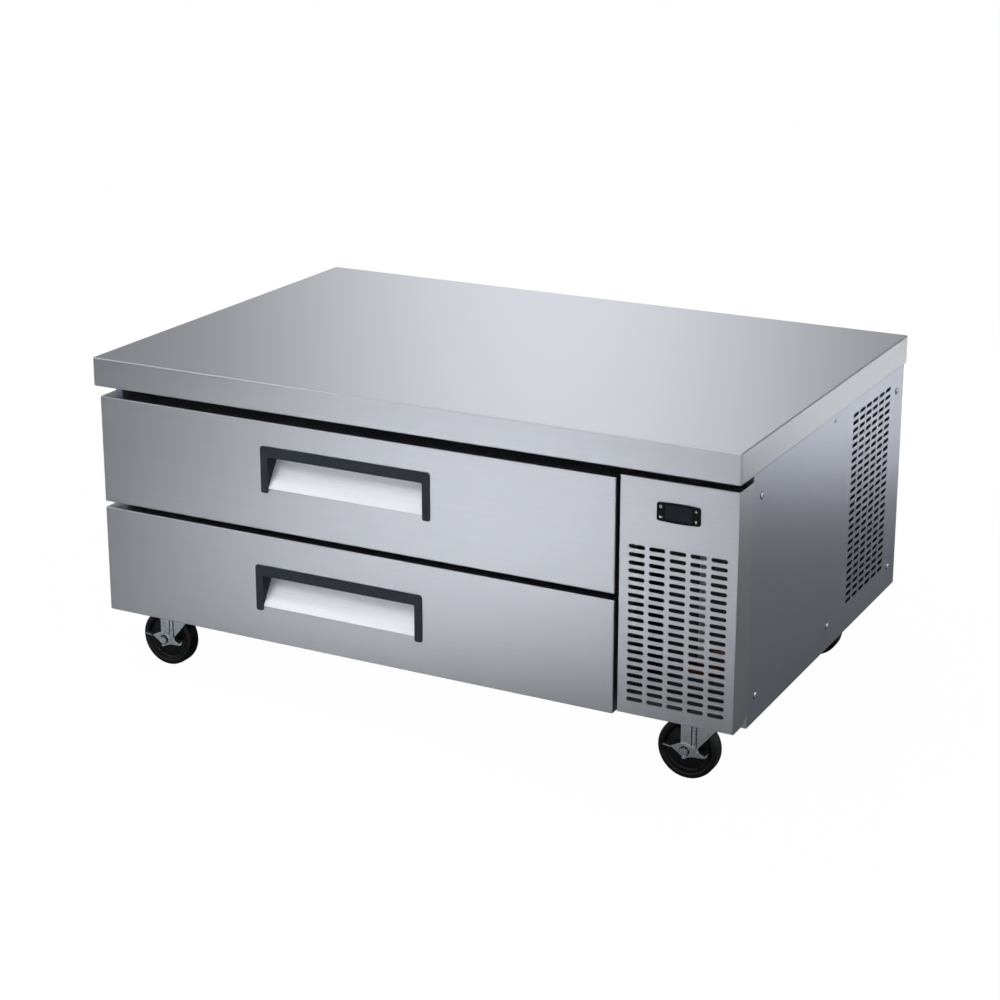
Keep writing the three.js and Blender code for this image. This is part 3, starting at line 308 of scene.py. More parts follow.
looks = {
    # stainless sheet with a long ground grain: soft stretched highlights. The real grain is
    # about 0.1 mm across and is drawn 1.6 mm across, so that it shows
    "brushed stainless, grain along X": {
        "size": (260, 1.6, 1.6), "dark": "#b9bcc3", "light": "#bdc0c7", "gloss": (0.29, 0.33),
        "relief": 0.012, "depth": 0.05, "metallic": 1, "detail": 3},
    "brushed stainless, grain along Y": {
        "size": (1.6, 260, 1.6), "dark": "#b3b8c5", "light": "#b7bcc9", "gloss": (0.29, 0.33),
        "relief": 0.012, "depth": 0.05, "metallic": 1, "detail": 3},
    # the finger scoops are bright annealed stainless, nearly white in soft light
    "bright annealed stainless": {
        "size": (200, 1.4, 1.4), "dark": "#d7d9de", "light": "#dfe0e5", "gloss": (0.38, 0.46),
        "relief": 0.02, "depth": 0.03, "metallic": 0.6},
    # glass-filled nylon moulding with a fine spark-eroded texture: matt, slightly blue black
    "textured nylon moulding": {
        "size": (0.9, 0.9, 0.9), "dark": "#151a22", "light": "#1a202a", "gloss": (0.5, 0.62),
        "relief": 0.2, "depth": 0.06, "sockets": {"Specular_IOR_Level": 0.18}},
    # polished polycarbonate bezel
    "polished polycarbonate": {
        "size": (6, 6, 6), "dark": "#090a0c", "light": "#0c0d10", "gloss": (0.2, 0.26),
        "relief": 0.02, "depth": 0.02, "sockets": {"Specular_IOR_Level": 0.04}},
    "smoked polycarbonate window": {
        "size": (20, 20, 20), "dark": "#10131a", "light": "#141820", "gloss": (0.1, 0.15),
        "relief": 0.01, "depth": 0.02, "sockets": {"Specular_IOR_Level": 0.07}},
    "silicone key": {
        "size": (1, 1, 1), "dark": "#0e1013", "light": "#121418", "gloss": (0.35, 0.45),
        "relief": 0.1, "depth": 0.03, "sockets": {"Specular_IOR_Level": 0.07}},
    "printed key legend": {
        "size": (2, 2, 2), "dark": "#8fa1ad", "light": "#a2b3bd", "gloss": (0.4, 0.5),
        "relief": 0.05, "depth": 0.02},
    # zinc-plated pressed steel: cool grey, hardly mottled
    "bright zinc plate": {
        "size": (12, 12, 12), "dark": "#d0d8dd", "light": "#d6dde2", "gloss": (0.26, 0.3),
        "relief": 0.002, "depth": 0.05, "metallic": 1},
    "galvanised sheet": {
        "size": (22, 22, 14), "dark": "#83898e", "light": "#9aa1a6", "gloss": (0.38, 0.55),
        "relief": 0.05, "depth": 0.05, "metallic": 1, "detail": 5},
    "satin stainless liner": {
        "size": (240, 1.8, 1.8), "dark": "#adb0b4", "light": "#babdc1", "gloss": (0.34, 0.42),
        "relief": 0.04, "depth": 0.04, "metallic": 1},
    # black moulded tread and wheel centre, slightly shiny
    "moulded black rubber": {
        "size": (3, 3, 3), "dark": "#050506", "light": "#09090a", "gloss": (0.34, 0.46),
        "relief": 0.1, "depth": 0.08, "sockets": {"Specular_IOR_Level": 0.35}},
    "soft vinyl gasket": {
        "size": (2, 2, 2), "dark": "#36393d", "light": "#404348", "gloss": (0.6, 0.75),
        "relief": 0.1, "depth": 0.05},
    "extruded rigid PVC": {
        "size": (60, 2, 2), "dark": "#131417", "light": "#18191c", "gloss": (0.5, 0.6),
        "relief": 0.05, "depth": 0.05},
    "moulded ABS liner": {
        "size": (1.5, 1.5, 1.5), "dark": "#b4b7ba", "light": "#bdc0c3", "gloss": (0.45, 0.55),
        "relief": 0.1, "depth": 0.05},
    "faced core board": {
        "size": (30, 30, 30), "dark": "#8a9096", "light": "#979da3", "gloss": (0.5, 0.6),
        "relief": 0.05, "depth": 0.05},
    "polyurethane foam": {
        "size": (4, 4, 4), "dark": "#cfc49a", "light": "#ddd3ae", "gloss": (0.85, 0.95),
        "relief": 0.4, "depth": 0.5, "detail": 5},
    "black coated fins": {
        "size": (1.8, 60, 60), "dark": "#121214", "light": "#2d2f32", "gloss": (0.45, 0.6),
        "relief": 0.6, "depth": 0.6},
    "mill aluminium": {
        "size": (1.8, 60, 60), "dark": "#a3a7ab", "light": "#babec2", "gloss": (0.35, 0.5),
        "relief": 0.2, "depth": 0.2, "metallic": 1},
    "glass-filled fan moulding": {
        "size": (1.5, 1.5, 1.5), "dark": "#18191b", "light": "#1f2023", "gloss": (0.42, 0.55),
        "relief": 0.15, "depth": 0.05},
    "black stoving enamel": {
        "size": (5, 5, 5), "dark": "#111113", "light": "#171719", "gloss": (0.3, 0.42),
        "relief": 0.08, "depth": 0.05},
    # drawn tube, a dull dark brown
    "drawn copper": {
        "size": (7, 7, 40), "dark": "#5b3c33", "light": "#75503f", "gloss": (0.4, 0.55),
        "relief": 0.06, "depth": 0.04, "metallic": 1},
}
materials = {name: makeMaterial(name, look) for name, look in looks.items()}
steelX = materials["brushed stainless, grain along X"]
steelY = materials["brushed stainless, grain along Y"]
zinc = materials["bright zinc plate"]
darkPlastic = materials["extruded rigid PVC"]
enamel = materials["black stoving enamel"]

nodeMaterials = {
    "brushed stainless, grain along X": ["worktop", "back_panel", "grille_panel",
                                         "upper_drawer_front", "lower_drawer_front"],
    "brushed stainless, grain along Y": ["left_side_panel", "right_side_panel"],
    "bright annealed stainless": ["upper_drawer_handle_scoop", "lower_drawer_handle_scoop"],
    "textured nylon moulding": ["upper_drawer_handle", "lower_drawer_handle"],
    "faced core board": ["worktop_core"],
    "galvanised sheet": ["base_frame", "condenser_fan_shroud", "compressor_tray"],
    "polyurethane foam": ["insulation"],
    "satin stainless liner": ["inner_liner", "upper_drawer_pan_frame", "lower_drawer_pan_frame"],
    "extruded rigid PVC": ["front_frame", "mains_gland"],
    "polished polycarbonate": ["controller_case"],
    "smoked polycarbonate window": ["controller_window"],
    "silicone key": ["key_power", "key_defrost", "key_up", "key_down"],
    "moulded ABS liner": ["upper_drawer_inner_panel", "lower_drawer_inner_panel"],
    "mill aluminium": ["evaporator_coil", "evaporator_cover"],
    "soft vinyl gasket": ["upper_drawer_gasket", "lower_drawer_gasket"],
    "black coated fins": ["condenser_coil"],
    "glass-filled fan moulding": ["condenser_fan", "evaporator_fan"],
    "black stoving enamel": ["compressor"],
    "drawn copper": ["discharge_pipe"],
}
for name, nodes in nodeMaterials.items():
    for node in nodes:
        coat(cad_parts[node], materials[name])
for node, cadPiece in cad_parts.items():
    if any(part in node for part in ("_rail_", "_slide_", "_caster_", "_pedal")):
        coat(cadPiece, materials["moulded black rubber"] if "wheel" in node else zinc)
print("materials made:", len(materials))


# worktop

worktop = {"corner": 4, "edge": 2.2, "hem": 24, "hemRise": 1.4, "plug": (-47.2, 372.5),
           "plugRings": [(3.2, -1), (3.2, 0.2), (2.56, 0.5), (0.2, 0.5)]}
low, high = boxOf("worktop")
top = addBox("worktop_skin", low, high)
roundEdges(top, lambda at, way: abs(way.z) > 0.9, worktop["corner"], 5)
roundEdges(top, lambda at, way: abs(way.z) < 0.1 and
           min(abs(at.z - low.z), abs(at.z - high.z)) < 0.1, worktop["edge"], 4)
pick(top, "FACE", lambda at, normal: normal.z < -0.99)
bpy.ops.mesh.inset(thickness=worktop["hem"] * mm)
bpy.ops.mesh.extrude_region_move(
    TRANSFORM_OT_translate={"value": (0, 0, worktop["hemRise"] * mm)})
bpy.ops.object.mode_set(mode="OBJECT")
finishPiece(top, "cabinet", "stainless", steelX, "worktop", "worktop_core")
plugX, plugY = worktop["plug"]
plug = addTurned("worktop_plug", (plugX, plugY, high.z), "Z", worktop["plugRings"], 24)
finishPiece(plug, "cabinet", "frame_plastic", darkPlastic)
print("worktop made")


# side panels and back

panels = {"wall": 1.2, "bend": 1.6, "columns": 6, "rows": 26, "pitchAcross": 35.1,
          "firstColumn": 136, "rowsFrom": 179.95, "rowsTo": 523.7}
vent = {"length": 28.2, "height": 7, "end": 3.43, "reach": 6}


def slotCutter(axis, columns, rows, first, pitchAcross, pitchDown):
    # one round-ended slot, repeated in columns and rows; first is the middle of the lowest one
    half, tall = vent["length"] / 2, vent["height"] / 2
    through = 0 if axis == "X" else 1
    if axis == "X":
        reach, step = Vector((vent["reach"], half, tall)), Vector((0, pitchAcross * mm, 0))
    else:
        reach, step = Vector((half, vent["reach"], tall)), Vector((pitchAcross * mm, 0, 0))
    cutter = addBox("slots", Vector(first) - reach, Vector(first) + reach)
    roundEdges(cutter, lambda at, way: abs(way[through]) > 0.9, vent["end"], 6)
    shapeWith(cutter, "ARRAY", count=columns, use_relative_offset=False,
              use_constant_offset=True, constant_offset_displace=step)
    shapeWith(cutter, "ARRAY", count=rows, use_relative_offset=False,
              use_constant_offset=True, constant_offset_displace=(0, 0, pitchDown * mm))
    return cutter


for side, outward in (("left", -1), ("right", 1)):
    low, high = boxOf(f"{side}_side_panel")
    panel = addBox(f"{side}_panel_sheet", low, high)
    dropFaces(panel, lambda at, normal: normal.y > 0.9 or abs(normal.z) > 0.9 or
              normal.x * outward < -0.9)
    roundEdges(panel, lambda at, way: abs(way.z) > 0.9 and at.y < low.y + 1 and
               (at.x * outward > abs(low.x + high.x) / 2), panels["bend"])
    thicken(panel, panels["wall"])
    if side == "right":
        cutter = slotCutter("X", panels["columns"], panels["rows"],
                            (high.x, panels["firstColumn"], panels["rowsFrom"]),
                            panels["pitchAcross"],
                            (panels["rowsTo"] - panels["rowsFrom"]) / (panels["rows"] - 1))
        combine(panel, "DIFFERENCE", cutter)
    finishPiece(panel, "cabinet", "stainless", steelY, f"{side}_side_panel")
print("side panels made")


# screws: pan heads with a cross recess

screw = {"radius": 5.5, "height": 3, "recess": 5.8, "recessWidth": 1.3, "recessDepth": 1.6,
         "sunk": 0.5, "tip": 0.1, "sides": 20, "shadeRing": (6.6, 0.5),
         "dome": [(1, 0.3), (0.86, 0.72), (0.6, 0.93), (0.3, 1)],  # shares of radius and height
         "side": [(-314, 509.5), (361, 509.5), (358, 170.5), (26.5, 168.5), (-316, 171.5)],
         "small": (26.5, 541), "smallShare": 0.62,
         "back": [(-590, 535), (0, 535), (590, 535), (-590, 140), (0, 140), (590, 140)]}
headTurns = {"+X": Matrix.Rotation(math.pi / 2, 4, "Y"),
             "-X": Matrix.Rotation(-math.pi / 2, 4, "Y"),
             "+Y": Matrix.Rotation(-math.pi / 2, 4, "X")}


def panScrew(middle, axis, share=1):
    r, h = screw["radius"] * share, screw["height"] * share
    dome = [(r * wide, h * tall) for wide, tall in screw["dome"]]
    head = addTurned("head", (0, 0, 0), "Z", [(r, -screw["sunk"]), *dome, (screw["tip"], h)],
                     screw["sides"])
    reach, wide = screw["recess"] * share / 2, screw["recessWidth"] * share / 2
    deep = h - screw["recessDepth"] * share
    combine(head, "DIFFERENCE",
            addBox("recess", (-reach, -wide, deep), (reach, wide, h + past)),
            addBox("recess", (-wide, -reach, deep), (wide, reach, h + past)))
    head.data.transform(Matrix.Translation(Vector(middle) * mm) @ headTurns[axis])
    return head


for side, axis in (("left", "-X"), ("right", "+X")):
    low, high = boxOf(f"{side}_side_panel")
    face = low.x if side == "left" else high.x
    heads = [panScrew((face, y, z), axis) for y, z in screw["side"]]
    wide, thick = screw["shadeRing"]  # a dark ring round each head: painted shade for the dark edge that the head shows
    rings = [(wide, 0), (wide, thick if side == "right" else -thick)]
    shadeRings = [addTurned("shadeRing", (face, y, z), "X", rings, 24) for y, z in screw["side"]]
    finishPiece(merge(f"{side}_screw_shade_rings", shadeRings), "cabinet", "frame_plastic", darkPlastic)
    y, z = screw["small"]
    heads.append(panScrew((face, y, z), axis, screw["smallShare"]))
    finishPiece(merge(f"{side}_panel_screws", heads), "cabinet", "zinc_plate", zinc)
low, high = boxOf("back_panel")
heads = [panScrew((x, high.y, z), "+Y") for x, z in screw["back"]]
finishPiece(merge("back_panel_screws", heads), "cabinet", "zinc_plate", zinc)
print("screws made")


# grille cover

grille = {"wall": 0.9, "bend": 1.5, "lip": 20, "columns": 5, "rows": 20, "pitchAcross": 35.1,
          "rowsFrom": 163.5, "rowsTo": 424.75, "clipDeep": 22, "clipHigh": 13,
          "slack": 0.1, "windowHalfWidth": 35, "windowHalfHeight": 12.9, "windowMiddle": 50.5}
low, high = boxOf("grille_panel")
cover = addBox("grille_cover", low, high)
dropFaces(cover, lambda at, normal: normal.y > 0.9)
roundEdges(cover, lambda at, way: at.y < low.y + 0.1, grille["bend"])
pick(cover, "FACE", lambda at, normal: abs(normal.x) > 0.9 or normal.z < -0.9)
bpy.ops.mesh.bisect(
    plane_co=(0, (high.y - grille["clipDeep"]) * mm, low.z * mm),
    plane_no=Vector((0, grille["clipHigh"], -grille["clipDeep"])).normalized(), clear_outer=True)
bpy.ops.object.mode_set(mode="OBJECT")
thicken(cover, grille["wall"])
middleX = (low.x + high.x) / 2
middleZ = high.z - grille["windowMiddle"]
inside = grille["wall"] + grille["slack"]
wide, tall = grille["windowHalfWidth"], grille["windowHalfHeight"]
combine(
    cover, "DIFFERENCE",
    *(addBox("lip room", (low.x + inside, low.y + grille["lip"], level - past),
             (high.x - inside, high.y + past, level + past)) for level in (high.z, low.z)),
    addBox("controller room", (middleX - wide, low.y - past, middleZ - tall),
           (middleX + wide, low.y + past, middleZ + tall)),
    slotCutter("Y", grille["columns"], grille["rows"],
               (middleX - (grille["columns"] - 1) / 2 * grille["pitchAcross"], low.y,
                grille["rowsFrom"]), grille["pitchAcross"],
               (grille["rowsTo"] - grille["rowsFrom"]) / (grille["rows"] - 1)))
finishPiece(cover, "cabinet", "stainless", steelX, "grille_panel")
print("grille made")


# drawers: folded fronts, handles and finger scoops

drawer = {"wall": 1.2, "bend": 2}
handle = {"leg": 14, "bar": 19, "corner": 5, "legEnd": 3, "innerCorner": 1.8, "lip": 6,
          "sill": 8, "cheekDepth": 39.2, "overlap": 1, "gripDepth": 3.2, "gripHeight": 2,
          "ease": 0.7, "gap": 0.3}
scoop = {"back": 9, "end": 3, "roof": 3, "bend": 1.2, "wall": 1}  # back is that of the solid

for label in ("upper_drawer", "lower_drawer"):
    low, high = boxOf(f"{label}_front")
    trimLow, trimHigh = boxOf(f"{label}_handle")
    x0, x1, z0, z1 = trimLow.x, trimHigh.x, trimLow.z, trimHigh.z
    face = low.y
    skin = addBox(f"{label}_skin", low, high)
    dropFaces(skin, lambda at, normal: normal.y > 0.9)
    roundEdges(skin, lambda at, way: at.y < high.y - 1, drawer["bend"])
    thicken(skin, drawer["wall"])
    hole = addBox("hole", (x0 + handle["lip"], face - past, z0 + handle["sill"]),
                  (x1 - handle["lip"], face + past, z1 - handle["lip"]))
    combine(skin, "DIFFERENCE", hole)
    finishPiece(skin, label, "stainless", steelX, f"{label}_front")

    trim = addBox(f"{label}_handle_trim", (x0, trimLow.y, z0), (x1, face - handle["gap"], z1))
    roundEdges(trim, lambda at, way: abs(way.y) > 0.9 and at.z > z0 + 5, handle["corner"], 6)
    clear = addBox("clear", (x0 + handle["leg"], face - past, z0 - past),
                   (x1 - handle["leg"], face + past, z1 - handle["bar"]))
    roundEdges(clear, lambda at, way: abs(way.y) > 0.9 and at.z > z0, handle["innerCorner"], 4)
    combine(trim, "DIFFERENCE", clear)
    roundEdges(trim, lambda at, way: abs(way.y) > 0.9 and at.z < z0 + 0.5, handle["legEnd"], 4)
    edge, start = handle["lip"] + handle["gap"], face - handle["overlap"]
    cheekBack, cheekTop = face + handle["cheekDepth"], z1 - edge
    cheekFoot, barFoot = z0 + handle["sill"] + handle["gap"], z1 - handle["bar"]
    combine(
        trim, "UNION",
        addBox("cheek", (x0 + edge, start, cheekFoot), (x0 + handle["leg"], cheekBack, cheekTop)),
        addBox("cheek", (x1 - handle["leg"], start, cheekFoot), (x1 - edge, cheekBack, cheekTop)),
        addBox("grip", (x0 + edge, start, barFoot),
               (x1 - edge, face + handle["gripDepth"], barFoot + handle["gripHeight"])))
    easeEdges(trim, handle["ease"])
    finishPiece(trim, label, "handle_plastic", materials["textured nylon moulding"],
                f"{label}_handle")

    # the plate slopes up and back to a low roof that hides behind the bar of the handle
    scoopLow, scoopHigh = boxOf(f"{label}_handle_scoop")
    roof = z1 - handle["bar"] + scoop["roof"]
    rise = roof - scoopLow.z - scoop["end"]
    share = rise / (scoopHigh.z - scoopLow.z - scoop["back"])
    scoopHigh = Vector((scoopHigh.x, scoopLow.y + (scoopHigh.y - scoopLow.y) * share, roof))
    plate = addBox(f"{label}_scoop", scoopLow, scoopHigh)
    dropFaces(plate, lambda at, normal: normal.y < -0.9 or abs(normal.x) > 0.9)
    pick(plate, "VERT", lambda at: at.z < scoopLow.z + 1 and at.y > scoopHigh.y - 1)
    bpy.ops.transform.translate(value=(0, 0, rise * mm))
    bpy.ops.object.mode_set(mode="OBJECT")
    roundEdges(plate, lambda at, way: abs(way.x) > 0.9 and at.y > scoopHigh.y - 1,
               scoop["bend"], 4)
    shapeWith(plate, "SOLIDIFY", thickness=scoop["wall"] * mm, offset=-1)
    finishPiece(plate, label, "bright_stainless", materials["bright annealed stainless"],
                f"{label}_handle_scoop")
print("drawers made")


# casters, drawn with the axle at the origin

caster = {
    "trail": 23, "wheelSides": 72,
    "ease": {"rib": 0.8, "bead": 1.3, "fork": 0.5, "pedal": 0.35, "flange": 0.4, "foot": 0.5,
             "plate": 0.5},
    # ribs of the wheel centre: from and to along the radius, near and far from its middle plane
    "ribs": 6, "rib": (15, 41, 5, 7.9), "ribHalf": 1.5,
    "wheelSide": [(4.9, 16.5), (14.2, 16.5), (15.6, 15.4), (16.4, 9.5), (18.5, 7.4), (37.5, 6.4),
                  (40.6, 8.6), (42.2, 12.6), (44.0, 13.9), (47.8, 14.3), (50.4, 13.6),
                  (52.2, 11.6), (52.9, 8.4)],
    "legInside": 18.5, "legOutside": 21,
    # height, then the left and right edges of a fork leg
    "leg": [(-12, -3, 3), (-10.5, -6, 7), (-4, -8, 11), (8, -8, 22), (44, -8, 52), (76, -10, 56),
            (79, -10, 56)],
    "crown": (76.5, 79), "disc": [(32, 76.5), (33, 77.3), (33, 79), (31, 79.2)],
    # bead, grooves and window: left, right, foot and top; the grooves cut through the front leg
    # and dent the back one
    "bead": (12.6, 18.6, 15.2, 74), "beadOut": 1.4, "grooves": [(10.4, 12.2), (19, 20.8)],
    "grooveFoot": 2, "grooveTop": 74, "grooveReach": (-1.6, 9), "window": (1.5, 9.5, 61, 65),
    "rivet": (-1.5, 56.5), "rivetRings": [(0.2, -0.8), (1.2, -0.6), (1.6, 0.4)],
    # along X, then the lower and upper edge of the pedal plate
    "pedal": [(-34.4, 5.4, 7.4), (-24, 4.2, 6.6), (-19, 0.2, 8.4), (-12, -4, 12), (-7, -8.3, 13.4),
              (0, -10, 13.2), (8, -9.2, 11.4), (14, -7.4, 10.2), (19, -6.6, 10.4), (24, -5.8, 9.4),
              (25.8, -5.6, 3.9), (36.4, -4.4, -0.2), (40, -2.4, 1.2), (42, 1.8, 5)],
    "pedalSheet": 2, "pedalGap": 0.2, "hole": (9, 0.4),
    "pedalBends": [(15, 1.2), (22, 1), (30, 1)],
    # along X, top of the flange, how far it stands out
    "flange": [(23, 5.4, 3.4), (25.8, 4.2, 3.8), (36.4, 0.2, 4.6), (38.6, 0.8, 4.6),
               (40.6, 2.8, 4.6), (43, 6, 4.6)],
    "flangeSize": (4.4, 1.5),
    # left, right, how far it stands out, foot and top
    "foot": (-36, -22, 7, 6.2, 7.8), "footTurned": (-30, 1.6), "lug": (-3.4, 3, 3.5, -12.2, -9.4),
    "headRadius": 7.5, "headHeight": 5.4, "ring": (8.7, 0.5), "axle": ((4.5, 8), (3.9, 8.6)),
    "hexHead": [(1, 0), (1, 0.82), (0.88, 1)], "hexTip": 0.1,  # shares of radius and height
    "washer": [(4, 0), (9.8, 0), (9.8, -1.1), (9.3, -1.4), (0.1, -1.4)], "washerThick": 1.4,
    "plate": (92, 72, 2.5), "plateCorner": 7, "race": [(30, 0), (31, 1), (31, 6.6), (29.5, 7.5)],
    "boltSpread": (37, 27.5), "boltRadius": 5.6, "boltHeight": 4.4,
}


def hexHead(name, middle, axis, radius, height):  # from its seat outwards along the axis
    rings = [(radius * wide, height * tall) for wide, tall in caster["hexHead"]]
    head = addTurned(name, middle, axis, [*rings, (caster["hexTip"], height)], 6)
    head.data.transform(Matrix.Rotation(math.pi / 6, 4, axis))
    return head


def makeWheel(name):
    side = caster["wheelSide"]
    rings = [(r, -y) for r, y in side] + [(r, y) for r, y in reversed(side)]
    rings.append(rings[0])
    parts = [addTurned(name, (0, 0, 0), "Y", rings, caster["wheelSides"])]
    start, end, near, far = caster["rib"]
    half = caster["ribHalf"]
    for count in range(caster["ribs"]):
        turn = Matrix.Rotation(2 * math.pi * count / caster["ribs"], 4, "Y")
        for y0, y1 in ((-far, -near), (near, far)):
            rib = addBox("rib", (start, y0, -half), (end, y1, half))
            easeEdges(rib, caster["ease"]["rib"])
            rib.data.transform(turn)
            parts.append(rib)
    return merge(name, parts)


def makeFork(name, braked):
    inside, outside = caster["legInside"], caster["legOutside"]
    legs = [addLoft(name, (0, 0, 0), "Z", [(z, x0, x1, y0, y1) for z, x0, x1 in caster["leg"]])
            for y0, y1 in ((-outside, -inside), (inside, outside))]
    x0, x1, z0, z1 = caster["bead"]
    out = caster["beadOut"]
    beads = [addBox("bead", (x0, y - out, z0), (x1, y + out, z1)) for y in (-outside, outside)]
    for bead in beads:
        easeEdges(bead, caster["ease"]["bead"], 3)
    x0, x1, z0, z1 = caster["window"]
    cuts = [addBox("window", (x0, -outside - past, z0), (x1, outside + past, z1))]
    deep, reach = caster["grooveReach"]
    for x0, x1 in caster["grooves"]:
        for y in (-outside, outside):
            cuts.append(addBox("groove", (x0, y + deep, caster["grooveFoot"]),
                               (x1, y + reach, caster["grooveTop"])))
    crownLow, crownHigh = caster["crown"]
    x0, x1 = caster["leg"][-1][1:]
    crown = addBox("crown", (x0, -outside, crownLow), (x1, outside, crownHigh))
    disc = addTurned("disc", (caster["trail"], 0, 0), "Z", caster["disc"], 48)
    fork = legs[0]
    combine(fork, "UNION", legs[1], crown, disc)
    combine(fork, "DIFFERENCE", *cuts)
    combine(fork, "UNION", *beads)
    easeEdges(fork, caster["ease"]["fork"])
    rivetX, rivetZ = caster["rivet"]
    parts = [fork, addTurned("rivet", (rivetX, -outside, rivetZ), "Y", caster["rivetRings"], 12)]
    seat, tall = outside, caster["headHeight"]
    if braked:  # there the head stands in a hole of the pedal
        tall += caster["pedalSheet"] + caster["pedalGap"]
    else:
        seat += caster["washerThick"]
        parts.append(addTurned("washer", (0, -outside, 0), "Y", caster["washer"], 32))
    head = hexHead("head", (0, 0, 0), "Y", caster["headRadius"], tall)
    head.data.transform(Matrix.Translation((0, -seat * mm, 0)) @ Matrix.Rotation(math.pi, 4, "Z"))
    nut = hexHead("nut", (0, outside, 0), "Y", caster["headRadius"], caster["headHeight"])
    (wide, end), (narrow, tip) = caster["axle"]
    axle = addTurned("axle", (0, 0, 0), "Y", [
        (wide, -seat), (wide, outside + end), (narrow, outside + tip)], 24)
    return merge(name, [*parts, head, nut, axle])


def makePedal(name):
    y1 = -caster["legOutside"] - caster["pedalGap"]
    y0 = y1 - caster["pedalSheet"]
    plate = addLoft(name, (0, 0, 0), "X", [(x, y0, y1, z0, z1) for x, z0, z1 in caster["pedal"]])
    radius, holeZ = caster["hole"]
    combine(plate, "DIFFERENCE", addTurned("hole", (0, 0, holeZ), "Y", [
        (radius, y0 - past), (radius, y1 + past)]))
    for bendX, out in caster["pedalBends"]:  # the end by the grip stands out from the leg
        pick(plate, "VERT", lambda at: at.x > bendX)
        bpy.ops.transform.translate(value=(0, -out * mm, 0))
        bpy.ops.object.mode_set(mode="OBJECT")
    easeEdges(plate, caster["ease"]["pedal"], 2, 30)
    deep, tall = caster["flangeSize"]
    flange = addLoft("flange", (0, 0, 0), "X", [
        (x, y0 - out, y0 - out + deep, z - tall, z) for x, z, out in caster["flange"]])
    easeEdges(flange, caster["ease"]["flange"])
    foot, lug = (addBox(part, (x0, y0 - out, z0), (x1, y1, z1))
                 for part, (x0, x1, out, z0, z1) in (("foot", caster["foot"]),
                                                     ("lug", caster["lug"])))
    turnedX, rise = caster["footTurned"]
    pick(foot, "VERT", lambda at: at.x < turnedX)
    bpy.ops.transform.translate(value=(0, 0, rise * mm))
    bpy.ops.object.mode_set(mode="OBJECT")
    for piece in (foot, lug):
        easeEdges(piece, caster["ease"]["foot"])
    return merge(name, [plate, flange, foot, lug])


wheelMaster = makeWheel("wheel")
forkMasters = {True: makeFork("braked fork", True), False: makeFork("plain fork", False)}
pedalMaster = makePedal("pedal")
for corner in ("front_left", "front_right", "rear_left", "rear_right"):
    low, high = boxOf(f"{corner}_caster_wheel")
    axle = (low + high) / 2
    braked = corner.startswith("front")
    wheel = copyPiece(wheelMaster, f"{corner}_tyre_and_hub", axle)
    finishPiece(wheel, f"{corner}_wheel", "wheel_rubber", materials["moulded black rubber"],
                f"{corner}_caster_wheel")
    fork = copyPiece(forkMasters[braked], f"{corner}_fork", axle)
    finishPiece(fork, f"{corner}_swivel", "zinc_plate", zinc, f"{corner}_caster_fork")
    if braked:
        wide, thick = caster["ring"]  # a dark ring in the hole of the pedal, under the head: painted shade for the gap round the head
        out = -caster["legOutside"]
        ring = addTurned(f"{corner}_shade_ring_in_pedal_hole", axle, "Y", [(wide, out), (wide, out - thick)], 32)
        finishPiece(ring, f"{corner}_swivel", "frame_plastic", darkPlastic)
        pedal = copyPiece(pedalMaster, f"{corner}_pedal_plate", axle)
        finishPiece(pedal, f"{corner}_brake", "zinc_plate", zinc, f"{corner}_brake_pedal")
    plateLow, plateHigh = boxOf(f"{corner}_caster_plate")
    swivel = (plateLow + plateHigh) / 2
    wide, deep, thick = caster["plate"]
    seat = plateHigh.z - thick
    plate = addBox(f"{corner}_top_plate", (swivel.x - wide / 2, swivel.y - deep / 2, seat),
                   (swivel.x + wide / 2, swivel.y + deep / 2, plateHigh.z))
    roundEdges(plate, lambda at, way: abs(way.z) > 0.9, caster["plateCorner"], 5)
    easeEdges(plate, caster["ease"]["plate"])
    race = addTurned("race", (swivel.x, swivel.y, plateLow.z), "Z", caster["race"], 48)
    bolts = []
    spreadX, spreadY = caster["boltSpread"]
    for x in (swivel.x - spreadX, swivel.x + spreadX):
        for y in (swivel.y - spreadY, swivel.y + spreadY):
            bolt = hexHead("bolt", (0, 0, 0), "Z", caster["boltRadius"], caster["boltHeight"])
            bolt.data.transform(Matrix.Translation(Vector((x, y, seat)) * mm)
                                @ Matrix.Rotation(math.pi, 4, "X"))
            bolts.append(bolt)
    finishPiece(merge(plate.name, [plate, race, *bolts]), "cabinet", "zinc_plate", zinc,
                f"{corner}_caster_plate")
for master in (wheelMaster, *forkMasters.values(), pedalMaster):
    bpy.data.objects.remove(master)
print("casters made")


# controller

controller = {"bow": 1.6, "corner": 3.4, "edge": 0.8, "stations": 8, "face": 1.9,
              "bodyFrom": 1.5, "bodyGap": 0.3, "windowCorner": 2, "windowSink": 0.15,
              "windowGap": 0.2, "keyCorner": 1.6, "keyGap": 0.15, "keyRoom": 1.2,
              "holeCorner": 1.7, "ease": 0.3, "legend": 0.1, "ring": (1.5, 2.2),
              "disc": (1.5, -0.9), "arrow": 2.3, "arrowLift": 0.5, "powerBar": 0.12,
              "bars": {  # left, right, foot and top
                  "power": [(-0.35, 0.35, 0.2, 2.9)],
                  "defrost": [(0.9, 2.9, 0.15, 0.75), (0.9, 2.9, -0.75, -0.15)],
                  "up": [], "down": [(-0.35, 0.35, -2.7, -1.6)]}}
low, high = boxOf("controller_case")
middle = Vector(((low.x + high.x) / 2, low.y, (low.z + high.z) / 2))
reachX, reachZ = (high.x - low.x) / 2, (high.z - low.z) / 2
stations = []
for count in range(-controller["stations"], controller["stations"] + 1):
    share = count / controller["stations"]
    rise = reachZ - controller["bow"] * share ** 2
    stations.append((reachX * share, 0, controller["face"], -rise, rise))
bezel = addLoft("controller_bezel", middle, "X", stations)
